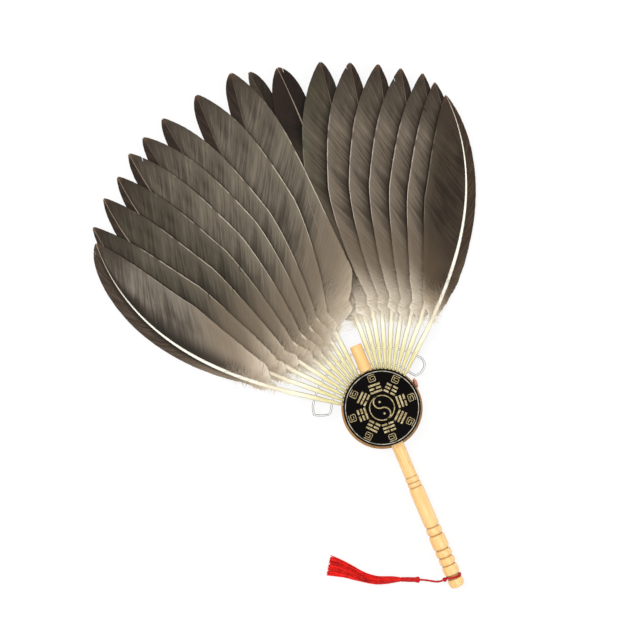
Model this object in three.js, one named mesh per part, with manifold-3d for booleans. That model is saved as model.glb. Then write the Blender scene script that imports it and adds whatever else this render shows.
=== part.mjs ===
import * as THREE from 'three';
import { mergeVertices } from 'three/addons/utils/BufferGeometryUtils.js';
import Module from 'manifold-3d';

// A feather fan: two wings of nine goose quills each, clamped side by side between two round discs
// on a turned stick, spread by a clear line that runs through all of them, with a tassel at the end.
// Sizes in millimetres. The fan lies on its back: +Y runs up the stick to the feathers, +Z comes out
// of the face, and Z = 0 is the resting face of the back disc. X = Y = 0 is the axis of the front disc.

const wasm = await Module();
wasm.setup();

// Hub discs
const frontDiscRadius = 29.7;
const backDiscRadius = 31.4;
const backDiscShift = 1.2; // the back disc sits this much lower than the front one
const discThickness = 5.2;
const discEdgeRound = 1.1;
const rimBeadInset = 1.3; // from the rim of the front disc to the fine raised ring
const rimBeadWidth = 0.7;
const rimBeadHeight = 0.3;
const seatGap = 0.3; // between pieces that touch on the real fan
const cutOverrun = 6; // of every cutting tool past the piece it cuts
const roundMiddleShare = 1 - Math.SQRT1_2; // of an edge's rounding, at its middle
const discSides = 40;

// Screws through the back disc and the stick into the front disc
const screwOffset = 15;
const screwHeadRadius = 2.5;
const screwHeadHeight = 1.5;
const screwRadius = 1;
const screwSink = 0.3;
const screwTopWall = 1.2; // of the front disc, left above the screw
const screwSides = 10;

// Stick, from the feathers' end down
const stickRadius = 4.9;
const stickTopRadius = 4.65;
const stickTop = 51.6; // above the hub axis
const stickFlatThickness = 6.4; // where the discs clamp it
const collarStart = 58; // below the hub axis
const notchRadius = 5.1;
const topEndChamfer = 0.5;
const handleSides = 16;
const upperCollarLength = 4.5;
const upperCollarRadius = 5.4;
const lowerCollarLength = 4;
const lowerCollarRadius = 5.45;
const gripLength = 33.3;
const gripRadius = 5.85;
const upperBeadLength = 6.6;
const upperBeadRadius = 6.1;
const barrelLength = 12.2;
const barrelRadius = 6.4;
const middleBeadLength = 6.4;
const middleBeadRadius = 6.35;
const lowerBeadLength = 6.5;
const lowerBeadRadius = 6.25;
const lastBeadLength = 8.3;
const lastBeadRadius = 6.2;
// The turned rings, from the collar to the end of the stick
const turnings = [
  { length: upperCollarLength, radius: upperCollarRadius },
  { length: lowerCollarLength, radius: lowerCollarRadius },
  { length: gripLength, radius: gripRadius },
  { length: upperBeadLength, radius: upperBeadRadius },
  { length: barrelLength, radius: barrelRadius },
  { length: middleBeadLength, radius: middleBeadRadius },
  { length: lowerBeadLength, radius: lowerBeadRadius },
  { length: lastBeadLength, radius: lastBeadRadius },
];
const turningEdge = 1.1;
const cordGrooveWidth = 2.8;
const cordGrooveRadius = 4.45;
const endKnobLength = 7.2;
const endKnobRadius = 6;
const endKnobRound = 1.7;

// Quills and feathers
const quillAxisOffset = 4.9; // each quill's line passes this far beside the hub axis
const quillStart = 18; // cut end inside the hub
const quillTaper = 0.041; // radius per millimetre from the hub, as far as the full quill
const quillRadius = 2.05;
const quillFullAt = 60;
const shaftStart = 72; // the bare quill becomes the shaft between the vanes
const shaftTipRadius = 0.3;
const shaftTaperPower = 1.4;
const ridgeShare = 0.75; // of the shaft's radius, on the side that shows
const keelShare = 0.8; // of the shaft's radius, on the hidden side
const longestFeather = 283;
const bendStart = 60; // the feathers are straight up to here
const bendPower = 1.6;
const vaneThickness = 0.5;
const vaneEdgeThickness = 0.3;
const narrowFullAt = 122;
const wideFullAt = 175;
const vaneGrowthPower = 0.55;
const wideVane = 36;
const narrowVaneSecond = 5.3;
const narrowVaneInnermost = 8.6;
const vaneMargin = 0.6; // least width of a vane beside the shaft
const wideTipTaper = 36;
const narrowTaperSecond = 18;
const narrowTaperInnermost = 8;
const tipBlunt = 2;
const wideCamber = 2.2;
const narrowCamber = 0.4;
const layerGap = 0.4;
const leastTilt = THREE.MathUtils.degToRad(5.5);
const restHeight = 3.2; // of the shafts where the vanes lie lowest
const settleLength = 60; // over which the quills come down to that height
const bellyAt = 150;
const tipRise = 7;
const dropStart = 58;
const dropLength = 26;
const middleStations = 3;
const curveSteps = 60;
const quillStationShares = [0, 0.556, 0.815, 1]; // from the quill's start to the shaft's
const baseStationShares = [0.12, 0.32, 0.62, 1]; // from the shaft's start to the full vane
const tipLength = 44;
const tipStationShares = [1, 0.6, 0.32, 0.14, 0.045, 0]; // of the tip's length, back from its end

// The wings, from the outermost feather in, with the narrow vane of the outermost one, which lies
// bare. Angles in degrees from the stick.
const leftWing = {
  name: 'left',
  side: -1,
  innerAngle: 4.7,
  outerAngle: 53.6,
  lengthShares: [0.947, 0.954, 0.968, 0.968, 0.982, 0.982, 0.986, 0.989, 1],
  bends: [60, 44, 38.5, 31.2, 23.7, 15, 9.6, 12.3, 15],
  outermostVane: { width: 10.2, start: 105, fullAt: 205, taper: 14 },
};
const rightWing = {
  name: 'right',
  side: 1,
  innerAngle: 3.4,
  outerAngle: 49.4,
  lengthShares: [0.908, 0.919, 0.926, 0.929, 0.935, 0.942, 0.954, 0.968, 0.982],
  bends: [54.5, 40.5, 27.3, 19.8, 13, 9.5, 7, 12.3, 9.8],
  outermostVane: { width: 8.4, start: 72, fullAt: 115, taper: 34 },
};
const angleGrowthShare = 0.1; // how much the steps between the quills widen outwards
// Feathers that differ from the rest. The two beside the stick on the right lie lowest, flat and
// narrow, under the left wing's last.
const habits = {
  feather_right_7: { drop: 0, tiltShare: 0.6, widthShare: 1, fullAt: 190 },
  feather_right_8: { drop: 0.6, tiltShare: 0, widthShare: 0.7, fullAt: 122 },
  feather_right_9: { drop: 1.8, tiltShare: 0, widthShare: 0.7, fullAt: 122 },
  feather_left_7: { drop: 0, tiltShare: 1, widthShare: 0.9, fullAt: 175 },
  feather_left_9: { drop: 0, tiltShare: 0.95, widthShare: 0.95, fullAt: 122 },
};

// Clear line through quills and stick
const lineRadius = 0.8;
const lineClearance = 0.15;
const stickLineClearance = 0.4; // its hole is straight and the line curves
const lineSides = 6;
const drillSides = 6;
const lineStep = 5;
const outerArc = { x: -2.4, y: -9.2, radius: 55.3 };
const innerArc = { x: -2.2, y: -3.6, radius: 38.2 };
const arcPoints = 22;
const loopLeadAngle = THREE.MathUtils.degToRad(2.5); // from the last quill to where a loop starts to turn
// The loops outside the last quills, from the outer arc to the inner one: each point as shares of
// the way between the arcs and of the loop's reach
const leftLoop = {
  reach: 10.6,
  shares: [[0, 0.4], [0.1, 0.86], [0.24, 1], [0.8, 0.86], [0.98, 0.66], [1.01, 0.36]],
};
const rightLoop = {
  reach: 8.8,
  shares: [[-0.01, 0.4], [0.2, 0.9], [0.62, 1], [0.97, 0.74], [1.02, 0.36]],
};
const knotLength = 8.4; // along the stick
const knotWidth = 3.4;
const knotHeight = 4;
const knotInset = 0.8; // of the knot's inner side, over the rounded edges of the discs

// Tassel
const cordRadius = 0.8;
const ringClearance = 0.3;
const ringSteps = 16;
const cordSides = 8;
const tieKnotRadius = 1.6;
const tieKnotOffset = 1.9; // from the middle of the ring's cord, outwards
const tasselBoreClearance = 0.3;
const tasselHeadRadius = 2.7;
const tasselFlareLength = 4.4;
const tasselNeckRadius = 1.9;
const tasselHeadLength = 14.4; // with the bound neck
const tasselNeckEnd = 1.2; // past the end of the cord
const tasselSides = 14;
// The cord from the tie knot to its end inside the tassel's neck
const cordRoute = [
  [-9.35, -141.2, 6.79], [-10.1, -141.2, 6.72], [-11.1, -141.12, 6.42], [-12.4, -140.92, 5.9],
  [-14, -140.5, 5.2], [-15.2, -140, 4.55], [-16.4, -139.4, 4], [-17.6, -138.75, 3.6],
  [-18.8, -138.1, 3.3], [-20, -137.4, 3.1], [-21.3, -136.65, 3], [-22.6, -135.95, 2.95],
  [-23.9, -135.3, 2.9], [-25.2, -134.7, 2.9], [-28.2, -133.35, 2.9], [-31.2, -132, 2.9],
  [-34.2, -130.65, 2.9], [-37.2, -129.3, 2.9],
];
// The skirt of threads, which lies in a bow
const skirtLength = 57.4;
const skirtHeading = THREE.MathUtils.degToRad(146.2);
const skirtEndWidth = 18.6;
const skirtThickness = 4.8;
// Sections of the skirt: along and sway as shares of its length, width and thickness of those above
const skirtShares = [
  { along: 0, sway: 0, width: 0.204, thickness: 0.79 },
  { along: 0.083, sway: 0.016, width: 0.301, thickness: 0.958 },
  { along: 0.183, sway: 0.042, width: 0.355, thickness: 1 },
  { along: 0.325, sway: 0.071, width: 0.398, thickness: 1 },
  { along: 0.513, sway: 0.063, width: 0.473, thickness: 0.958 },
  { along: 0.733, sway: 0.02, width: 0.645, thickness: 0.833 },
  { along: 0.885, sway: 0.003, width: 0.839, thickness: 0.708 },
  { along: 1, sway: 0, width: 1, thickness: 0.625 },
];
const skirtSettleShare = 0.5; // of its length, over which the skirt comes down to rest
const skirtFlutes = 8;
const fluteDepthShare = 0.07; // of the skirt's half width
const fluteStartShare = 0.25; // of the skirt's length, over which the flutes grow
const skirtLift = 0.15;

// Heights that follow from the sizes
const quillGap = 2 * (quillTaper * backDiscRadius + seatGap); // between the discs
const quillPlane = discThickness + quillGap / 2;
const frontDiscBottom = discThickness + quillGap;
const frontDiscTop = frontDiscBottom + discThickness;
const screwEnd = frontDiscTop - screwTopWall;
const wings = [leftWing, rightWing];
const up = new THREE.Vector3(0, 0, 1);

const finishes = {
  lacquer: new THREE.MeshStandardMaterial({ color: 0x0e0d0c, roughness: 0.35 }),
  backDisc: new THREE.MeshStandardMaterial({ color: 0x9c7a42, roughness: 0.5 }),
  wood: new THREE.MeshStandardMaterial({ color: 0xe8c284, roughness: 0.45 }),
  feather: new THREE.MeshStandardMaterial({ color: 0x7d7368, roughness: 0.85 }),
  line: new THREE.MeshStandardMaterial({ color: 0xe8e8e4, roughness: 0.15 }),
  seal: new THREE.MeshStandardMaterial({ color: 0x7a4a34, roughness: 0.4 }),
  brass: new THREE.MeshStandardMaterial({ color: 0xb08d4f, roughness: 0.3, metalness: 1 }),
  thread: new THREE.MeshStandardMaterial({ color: 0xc0121a, roughness: 0.6 }),
};

const fan = new THREE.Group();

function addMesh(name, geometry, material) {
  const mesh = new THREE.Mesh(geometry, material);
  mesh.name = name;
  fan.add(mesh);
  return mesh;
}

// Closed solids for cutting and joining

function toSolid(geometry) {
  const bare = geometry.clone();
  bare.deleteAttribute('normal');
  bare.deleteAttribute('uv');
  const merged = mergeVertices(bare);
  return new wasm.Manifold(new wasm.Mesh({
    numProp: 3,
    vertProperties: new Float32Array(merged.attributes.position.array),
    triVerts: new Uint32Array(merged.index.array),
  }));
}

function toGeometry(solid) {
  const mesh = solid.getMesh();
  const geometry = new THREE.BufferGeometry();
  geometry.setAttribute('position', new THREE.BufferAttribute(new Float32Array(mesh.vertProperties), 3));
  geometry.setIndex(new THREE.BufferAttribute(new Uint32Array(mesh.triVerts), 1));
  return geometry;
}

function cut(geometry, tools) {
  let solid = toSolid(geometry);
  for (const tool of tools) solid = solid.subtract(toSolid(tool));
  return toGeometry(solid);
}

// A closed skin over rings of points, all with the same count, run one after another
function loft(rings) {
  const count = rings[0].length;
  const positions = rings.flat().flatMap((point) => point.toArray());
  const index = [];
  for (let ring = 0; ring + 1 < rings.length; ring += 1) {
    for (let i = 0; i < count; i += 1) {
      const a = ring * count + i;
      const b = ring * count + ((i + 1) % count);
      index.push(a, b, a + count, b, b + count, a + count);
    }
  }
  const last = (rings.length - 1) * count;
  for (let i = 1; i + 1 < count; i += 1) {
    index.push(0, i + 1, i);
    index.push(last, last + i, last + i + 1);
  }
  const geometry = new THREE.BufferGeometry();
  geometry.setAttribute('position', new THREE.Float32BufferAttribute(positions, 3));
  geometry.setIndex(index);
  return geometry;
}

// A profile of [radius, height] pairs turned round the Z axis
function turned(profile, sides) {
  const points = profile.map(([radius, height]) => new THREE.Vector2(radius, height));
  return new THREE.LatheGeometry(points, sides).rotateX(Math.PI / 2);
}

function boxAround(width, length, height, centre) {
  return new THREE.BoxGeometry(width, length, height).translate(centre.x, centre.y, centre.z);
}

function circleShape(radius, sides) {
  const corners = [];
  for (let i = 0; i < sides; i += 1) {
    const angle = (2 * Math.PI * i) / sides;
    corners.push(new THREE.Vector2(radius * Math.cos(angle), radius * Math.sin(angle)));
  }
  return new THREE.Shape(corners);
}

function tubeAlong(curve, radius, sides, steps) {
  return new THREE.ExtrudeGeometry(circleShape(radius, sides), { steps, extrudePath: curve });
}

function smoothStep(value) {
  const share = Math.min(1, Math.max(0, value));
  return share * share * (3 - 2 * share);
}

// Screws and their holes

function screwPlaces() {
  return [screwOffset, -screwOffset];
}

function screwBody(clearance) {
  const head = screwHeadRadius + clearance;
  const shank = screwRadius + clearance;
  const bottom = clearance > 0 ? -screwSink : screwSink;
  const neck = screwSink + screwHeadHeight;
  const top = screwEnd + clearance;
  return turned(
    [[0, bottom], [head, bottom], [head, screwSink], [shank, neck], [shank, top], [0, top]],
    screwSides,
  );
}

function screwHoles() {
  return screwPlaces().map((y) => screwBody(seatGap).translate(0, y, 0));
}

// Discs

function stickChannel() {
  const width = 2 * (stickRadius + seatGap);
  const length = 2 * (backDiscRadius + backDiscShift + cutOverrun);
  const height = stickFlatThickness + 2 * seatGap;
  return boxAround(width, length, height, new THREE.Vector3(0, 0, quillPlane));
}

function frontDisc() {
  const round = discEdgeRound;
  const beadOut = frontDiscRadius - rimBeadInset;
  const beadIn = beadOut - rimBeadWidth;
  const beadMiddle = (beadOut + beadIn) / 2;
  const profile = [
    [0, frontDiscBottom],
    [frontDiscRadius - round / 2, frontDiscBottom],
    [frontDiscRadius, frontDiscBottom + round / 2],
    [frontDiscRadius, frontDiscTop - round],
    [frontDiscRadius - roundMiddleShare * round, frontDiscTop - roundMiddleShare * round],
    [frontDiscRadius - round, frontDiscTop],
    [beadOut, frontDiscTop],
    [beadMiddle, frontDiscTop + rimBeadHeight],
    [beadIn, frontDiscTop],
    [0, frontDiscTop],
  ];
  return cut(turned(profile, discSides), [stickChannel(), ...screwHoles()]);
}

function backDisc() {
  const round = discEdgeRound;
  const profile = [
    [0, 0],
    [backDiscRadius - round, 0],
    [backDiscRadius - roundMiddleShare * round, roundMiddleShare * round],
    [backDiscRadius, round],
    [backDiscRadius, discThickness - round / 2],
    [backDiscRadius - round / 2, discThickness],
    [0, discThickness],
  ];
  const disc = turned(profile, discSides).translate(0, -backDiscShift, 0);
  return cut(disc, [stickChannel(), ...screwHoles()]);
}

// Stick

function handleProfile() {
  const points = [];
  const bottom = -stickLength() + stickTop;
  const knobTop = bottom + endKnobLength;
  points.push([0, bottom]);
  points.push([endKnobRadius - endKnobRound, bottom]);
  points.push([endKnobRadius - endKnobRound * 0.3, bottom + endKnobRound * 0.5]);
  points.push([endKnobRadius, bottom + endKnobRound * 1.6]);
  points.push([endKnobRadius, knobTop - turningEdge / 2]);
  points.push([cordGrooveRadius, knobTop]);
  points.push([cordGrooveRadius, knobTop + cordGrooveWidth]);
  let y = knobTop + cordGrooveWidth;
  for (const turning of [...turnings].reverse()) {
    const top = y + turning.length;
    points.push([turning.radius - turningEdge * 0.1, y + turningEdge]);
    points.push([turning.radius, (y + top) / 2]);
    points.push([turning.radius - turningEdge * 0.1, top - turningEdge]);
    points.push([notchRadius, top]);
    y = top;
  }
  points.push([stickRadius, backDiscRadius]);
  points.push([stickTopRadius, stickTop - topEndChamfer]);
  points.push([stickTopRadius - topEndChamfer, stickTop]);
  points.push([0, stickTop]);
  return points;
}

function stickLength() {
  const turnedLength = turnings.reduce((sum, turning) => sum + turning.length, 0);
  return stickTop + collarStart + turnedLength + cordGrooveWidth + endKnobLength;
}

function handle() {
  const points = handleProfile().map(([radius, y]) => new THREE.Vector2(radius, y));
  const turnedStick = new THREE.LatheGeometry(points, handleSides).translate(0, 0, quillPlane);
  const flatTop = Math.max(frontDiscRadius, backDiscRadius - backDiscShift) + seatGap;
  const flatBottom = -(backDiscRadius + backDiscShift + seatGap);
  const flatDepth = stickRadius + cutOverrun;
  const flatWidth = 2 * (stickRadius + cutOverrun);
  const flats = [1, -1].map((face) => {
    const height = quillPlane + face * (stickFlatThickness + flatDepth) / 2;
    const centre = new THREE.Vector3(0, (flatTop + flatBottom) / 2, height);
    return boxAround(flatWidth, flatTop - flatBottom, flatDepth, centre);
  });
  const lineHoles = [outerArc, innerArc].map((arc) => {
    const middle = new THREE.Vector2(0, arc.y + Math.sqrt(arc.radius ** 2 - arc.x ** 2));
    return lineHole(arc, middle, flatWidth, stickLineClearance);
  });
  return cut(turnedStick, [...flats, ...screwHoles(), ...lineHoles]);
}

// Clear line

// A drill along the line where it crosses at a point
function lineHole(arc, point, length, clearance) {
  const along = Math.atan2(point.y - arc.y, point.x - arc.x) + Math.PI / 2;
  const radius = (lineRadius + clearance) / Math.cos(Math.PI / drillSides);
  const drill = new THREE.CylinderGeometry(radius, radius, length, drillSides);
  return drill.rotateZ(along + Math.PI / 2).translate(point.x, point.y, quillPlane);
}

// Where a feather's straight quill crosses an arc of the line
function crossing(feather, arc) {
  const start = feather.pointAt(0);
  const heading = feather.headingAt(0);
  const dir = new THREE.Vector2(Math.sin(heading), Math.cos(heading));
  const toStart = new THREE.Vector2(start.x - arc.x, start.y - arc.y);
  const along = toStart.dot(dir);
  const reach = Math.sqrt(along * along - toStart.lengthSq() + arc.radius * arc.radius);
  return new THREE.Vector2(start.x, start.y).addScaledVector(dir, reach - along);
}

function arcAngle(arc, point) {
  return Math.atan2(point.x - arc.x, point.y - arc.y);
}

function pointOnArc(arc, angle) {
  return new THREE.Vector3(
    arc.x + arc.radius * Math.sin(angle),
    arc.y + arc.radius * Math.cos(angle),
    quillPlane,
  );
}

function arcRun(arc, from, to) {
  const points = [];
  for (let i = 0; i <= arcPoints; i += 1) {
    points.push(pointOnArc(arc, from + ((to - from) * i) / arcPoints));
  }
  return points;
}

// The loop from the outer arc round to the inner one, bulging away from the feathers
function loopBetween(outerEnd, innerEnd, side, loop) {
  const step = innerEnd.clone().sub(outerEnd);
  const outwards = new THREE.Vector3(-side * step.y, side * step.x, 0).setLength(loop.reach);
  return loop.shares.map(([along, out]) => (
    outerEnd.clone().addScaledVector(step, along).addScaledVector(outwards, out)
  ));
}

// The loop outside the last quill of a wing, with the angles on the arcs where it starts and ends
function wingLoop(outermost, loop) {
  const [outer, inner] = [outerArc, innerArc].map((arc) => (
    arcAngle(arc, crossing(outermost, arc)) + outermost.side * loopLeadAngle
  ));
  const ends = [pointOnArc(outerArc, outer), pointOnArc(innerArc, inner)];
  return { outer, inner, points: loopBetween(...ends, outermost.side, loop) };
}

function spreadLine(left, right) {
  const points = [
    ...arcRun(outerArc, right.outer, left.outer),
    ...left.points,
    ...arcRun(innerArc, left.inner, right.inner),
    ...[...right.points].reverse(),
  ];
  const curve = new THREE.CatmullRomCurve3(points, true, 'centripetal');
  return tubeAlong(curve, lineRadius, lineSides, Math.round(curve.getLength() / lineStep));
}

// The knot lies against the edges of the discs, straight under the lowest point of the right loop
function lineKnot(loop) {
  const lump = new THREE.SphereGeometry(0.5, 10, 6).scale(knotWidth, knotLength, knotHeight);
  const lowest = Math.min(...loop.points.map((point) => point.y));
  const y = lowest - lineRadius - seatGap - knotLength / 2;
  const reach = Math.max(frontDiscRadius, backDiscRadius) + knotWidth / 2 - knotInset;
  const x = Math.sqrt(reach ** 2 - (y + backDiscShift) ** 2);
  return lump.translate(x, y, quillPlane);
}

// Feathers

function angleOf(wing, number) {
  const share = (wing.bends.length - number) / (wing.bends.length - 1);
  const grown = (1 - angleGrowthShare) * share + angleGrowthShare * share * share;
  return THREE.MathUtils.degToRad(wing.innerAngle + (wing.outerAngle - wing.innerAngle) * grown);
}

// The least angle between two neighbouring quills of the whole fan
const closestStep = Math.min(...wings.map((wing) => {
  const count = wing.bends.length;
  return angleOf(wing, count - 1) - angleOf(wing, count);
}));

// The line of a feather in plan: straight, then bending towards the stick
function featherPlan(wing, number, innerNeighbour) {
  const { side } = wing;
  const angle = side * angleOf(wing, number);
  const length = longestFeather * wing.lengthShares[number - 1];
  const bend = THREE.MathUtils.degToRad(wing.bends[number - 1]);
  const name = `feather_${wing.name}_${number}`;
  const rank = (number - 1) / (wing.bends.length - 1); // 1 for the innermost
  const step = (length - bendStart) / curveSteps;
  const headingAt = (s) => {
    const share = Math.max(0, (s - bendStart) / (length - bendStart));
    return angle - side * bend * share ** bendPower;
  };
  const ahead = (heading) => new THREE.Vector2(Math.sin(heading), Math.cos(heading));
  const sideways = new THREE.Vector2(side * Math.cos(angle), -side * Math.sin(angle));
  const foot = sideways.multiplyScalar(quillAxisOffset);
  const straightTo = (s) => foot.clone().addScaledVector(ahead(angle), s);
  const curve = [straightTo(bendStart)];
  for (let i = 0; i < curveSteps; i += 1) {
    const heading = headingAt(bendStart + (i + 0.5) * step);
    curve.push(curve[i].clone().addScaledVector(ahead(heading), step));
  }
  const pointAt = (s) => {
    if (s <= bendStart) return straightTo(s);
    const place = (s - bendStart) / step;
    const before = Math.min(Math.floor(place), curveSteps - 1);
    return curve[before].clone().lerp(curve[before + 1], place - before);
  };
  const habit = habits[name] ?? { drop: 0, tiltShare: 1, widthShare: 1, fullAt: wideFullAt };
  const narrowVane = number === 1 ? wing.outermostVane : {
    width: THREE.MathUtils.lerp(narrowVaneSecond, narrowVaneInnermost, rank),
    start: shaftStart,
    fullAt: narrowFullAt,
    taper: THREE.MathUtils.lerp(narrowTaperSecond, narrowTaperInnermost, rank),
  };
  return { name, side, length, curve, pointAt, headingAt, innerNeighbour, habit, narrowVane };
}

function shaftRadius(feather, s) {
  if (s < quillFullAt) return Math.min(quillTaper * s, quillRadius);
  const share = Math.max(0, (s - shaftStart) / (feather.length - shaftStart));
  return shaftTipRadius + (quillRadius - shaftTipRadius) * (1 - share) ** shaftTaperPower;
}

// How far the section has turned from a round quill into a shaft with its vanes
function vaneShare(feather, s) {
  const base = smoothStep((s - quillFullAt) / (2 * (shaftStart - quillFullAt)));
  return Math.min(base, (feather.length - s) / tipBlunt);
}

// Height by which a vane passes over the shaft beneath it
function liftAt(feather, s) {
  return ridgeShare * shaftRadius(feather, s) + vaneThickness + layerGap;
}

function tiltAt(feather, s) {
  const steep = liftAt(feather, s) / (Math.max(s, quillFullAt) * closestStep);
  return vaneShare(feather, s) * Math.max(Math.asin(steep), leastTilt);
}

// Where the feathers crowd together, a vane is raised by what its tilt alone doesn't clear
function raiseAt(feather, s) {
  const inner = feather.innerNeighbour;
  if (!inner || s <= bendStart) return 0;
  const point = feather.pointAt(s);
  const apart = Math.min(...inner.curve.map((other) => other.distanceTo(point)));
  const missing = liftAt(feather, s) - apart * Math.sin(tiltAt(feather, s));
  return raiseAt(inner, s) + Math.max(0, missing) * vaneShare(feather, s);
}

function shaftHeight(feather, s) {
  const settled = quillPlane - (quillPlane - restHeight) * smoothStep((s - bendStart) / settleLength);
  const rise = tipRise * Math.max(0, (s - bellyAt) / (feather.length - bellyAt)) ** 2;
  const drop = feather.habit.drop * smoothStep((s - dropStart) / dropLength);
  return settled + rise - drop + raiseAt(feather, s);
}

function vaneWidths(feather, s) {
  const least = shaftRadius(feather, s) + vaneMargin;
  const { widthShare, tiltShare, fullAt } = feather.habit;
  const widest = tiltShare > 0 ? wideVane : Math.min(wideVane, closestStep * s);
  const widthOf = (vane) => {
    const growth = THREE.MathUtils.clamp((s - vane.start) / (vane.fullAt - vane.start), 0, 1);
    const tapered = 1 - Math.exp((s - feather.length) / vane.taper);
    return Math.max(least, vane.width * growth ** vaneGrowthPower * tapered);
  };
  const wide = { width: widthShare * widest, start: shaftStart, fullAt, taper: wideTipTaper };
  return { wide: widthOf(wide), narrow: widthOf(feather.narrowVane) };
}

// Twelve points round the section, as [inwards, up], from the outer edge over the face and back
function vaneSection(feather, s) {
  const radius = shaftRadius(feather, s);
  const { wide, narrow } = vaneWidths(feather, s);
  const half = vaneThickness / 2;
  const edge = vaneEdgeThickness / 2;
  const middle = (radius + wide) / 2;
  const camberAt = (width) => wideCamber * (width / wideVane) ** 2;
  return [
    [-narrow, narrowCamber + edge], [-radius, half], [0, ridgeShare * radius + half],
    [radius, half], [middle, camberAt(middle) + half], [wide, camberAt(wide) + edge],
    [wide, camberAt(wide) - edge], [middle, camberAt(middle) - half], [radius, -half],
    [0, -keelShare * radius - half / 2], [-radius, -half], [-narrow, narrowCamber - edge],
  ];
}

const sectionAngles = [163, 128, 90, 55, 32, 10].map(THREE.MathUtils.degToRad);

function quillSection(feather, s) {
  const radius = shaftRadius(feather, s);
  const top = sectionAngles.map((angle) => [radius * Math.cos(angle), radius * Math.sin(angle)]);
  return [...top, ...top.map(([inwards, height]) => [inwards, -height]).reverse()];
}

function featherRing(feather, s) {
  const heading = feather.headingAt(s);
  const place = feather.pointAt(s);
  const centre = new THREE.Vector3(place.x, place.y, shaftHeight(feather, s));
  const inwards = new THREE.Vector3(-feather.side * Math.cos(heading), feather.side * Math.sin(heading), 0);
  const tilt = feather.habit.tiltShare * tiltAt(feather, s);
  const across = inwards.clone().multiplyScalar(Math.cos(tilt)).addScaledVector(up, Math.sin(tilt));
  const out = up.clone().multiplyScalar(Math.cos(tilt)).addScaledVector(inwards, -Math.sin(tilt));
  const share = vaneShare(feather, s);
  const vane = vaneSection(feather, s);
  const ring = quillSection(feather, s).map(([a, b], i) => {
    const inward = THREE.MathUtils.lerp(a, vane[i][0], share);
    const height = THREE.MathUtils.lerp(b, vane[i][1], share);
    return centre.clone().addScaledVector(across, inward).addScaledVector(out, height);
  });
  return feather.side > 0 ? ring.reverse() : ring;
}

function featherStations(feather) {
  const quill = quillStationShares.map((share) => quillStart + share * (shaftStart - quillStart));
  const base = baseStationShares.map((share) => shaftStart + share * (narrowFullAt - shaftStart));
  const tip = tipStationShares.map((share) => feather.length - share * tipLength);
  const middle = [];
  for (let i = 1; i <= middleStations; i += 1) {
    middle.push(narrowFullAt + ((tip[0] - narrowFullAt) * i) / (middleStations + 1));
  }
  return [...quill, ...base, ...middle, ...tip];
}

function featherGeometry(feather) {
  const skin = loft(featherStations(feather).map((s) => featherRing(feather, s)));
  const drillLength = 4 * quillRadius;
  return cut(skin, [outerArc, innerArc].map((arc) => (
    lineHole(arc, crossing(feather, arc), drillLength, lineClearance)
  )));
}

function wingFeathers(wing) {
  const feathers = [];
  let inner = null;
  for (let number = wing.bends.length; number >= 1; number -= 1) {
    inner = featherPlan(wing, number, inner);
    feathers.unshift(inner);
  }
  return feathers;
}

// Tassel

const grooveMiddle = stickTop - stickLength() + endKnobLength + cordGrooveWidth / 2;
const ringRadius = cordGrooveRadius + ringClearance + cordRadius;

function tasselRing() {
  const ring = new THREE.TorusGeometry(ringRadius, cordRadius, cordSides, ringSteps).rotateX(Math.PI / 2);
  const knot = new THREE.SphereGeometry(tieKnotRadius, 10, 6).translate(-ringRadius - tieKnotOffset, 0, 0);
  return toGeometry(toSolid(ring).add(toSolid(knot))).translate(0, grooveMiddle, quillPlane);
}

function cordCurve() {
  const points = cordRoute.map(([x, y, z]) => new THREE.Vector3(x, y, z));
  return new THREE.CatmullRomCurve3(points, false, 'centripetal');
}

function tasselCord() {
  const curve = cordCurve();
  return tubeAlong(curve, cordRadius, cordSides, Math.round(curve.getLength() / (4 * cordRadius)));
}

// The flared top and bound neck of the tassel, with a blind bore for the cord
function tasselHead() {
  const cordEnd = cordCurve().getPoint(1);
  const ahead = cordCurve().getTangent(1);
  const start = cordEnd.clone().addScaledVector(ahead, tasselNeckEnd - tasselHeadLength);
  const bore = cordRadius + tasselBoreClearance;
  const boreEnd = tasselHeadLength - tasselNeckEnd + tasselBoreClearance;
  const flare = tasselHeadRadius;
  const profile = [
    [bore, 0],
    [flare, 0],
    [flare * 1.05, tasselFlareLength * 0.2],
    [flare * 0.8, tasselFlareLength * 0.7],
    [tasselNeckRadius, tasselFlareLength],
    [tasselNeckRadius, tasselHeadLength],
    [0, tasselHeadLength],
    [0, boreEnd],
    [bore, boreEnd],
    [bore, 0],
  ];
  const points = profile.map(([radius, height]) => new THREE.Vector2(radius, height));
  const head = new THREE.LatheGeometry(points, tasselSides);
  const heading = Math.atan2(ahead.y, ahead.x);
  return head.rotateZ(heading - Math.PI / 2).translate(start.x, start.y, start.z);
}

// Where the skirt's middle line starts, against the neck
function skirtStart() {
  const curve = cordCurve();
  return curve.getPoint(1).addScaledVector(curve.getTangent(1), tasselNeckEnd + seatGap);
}

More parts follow.
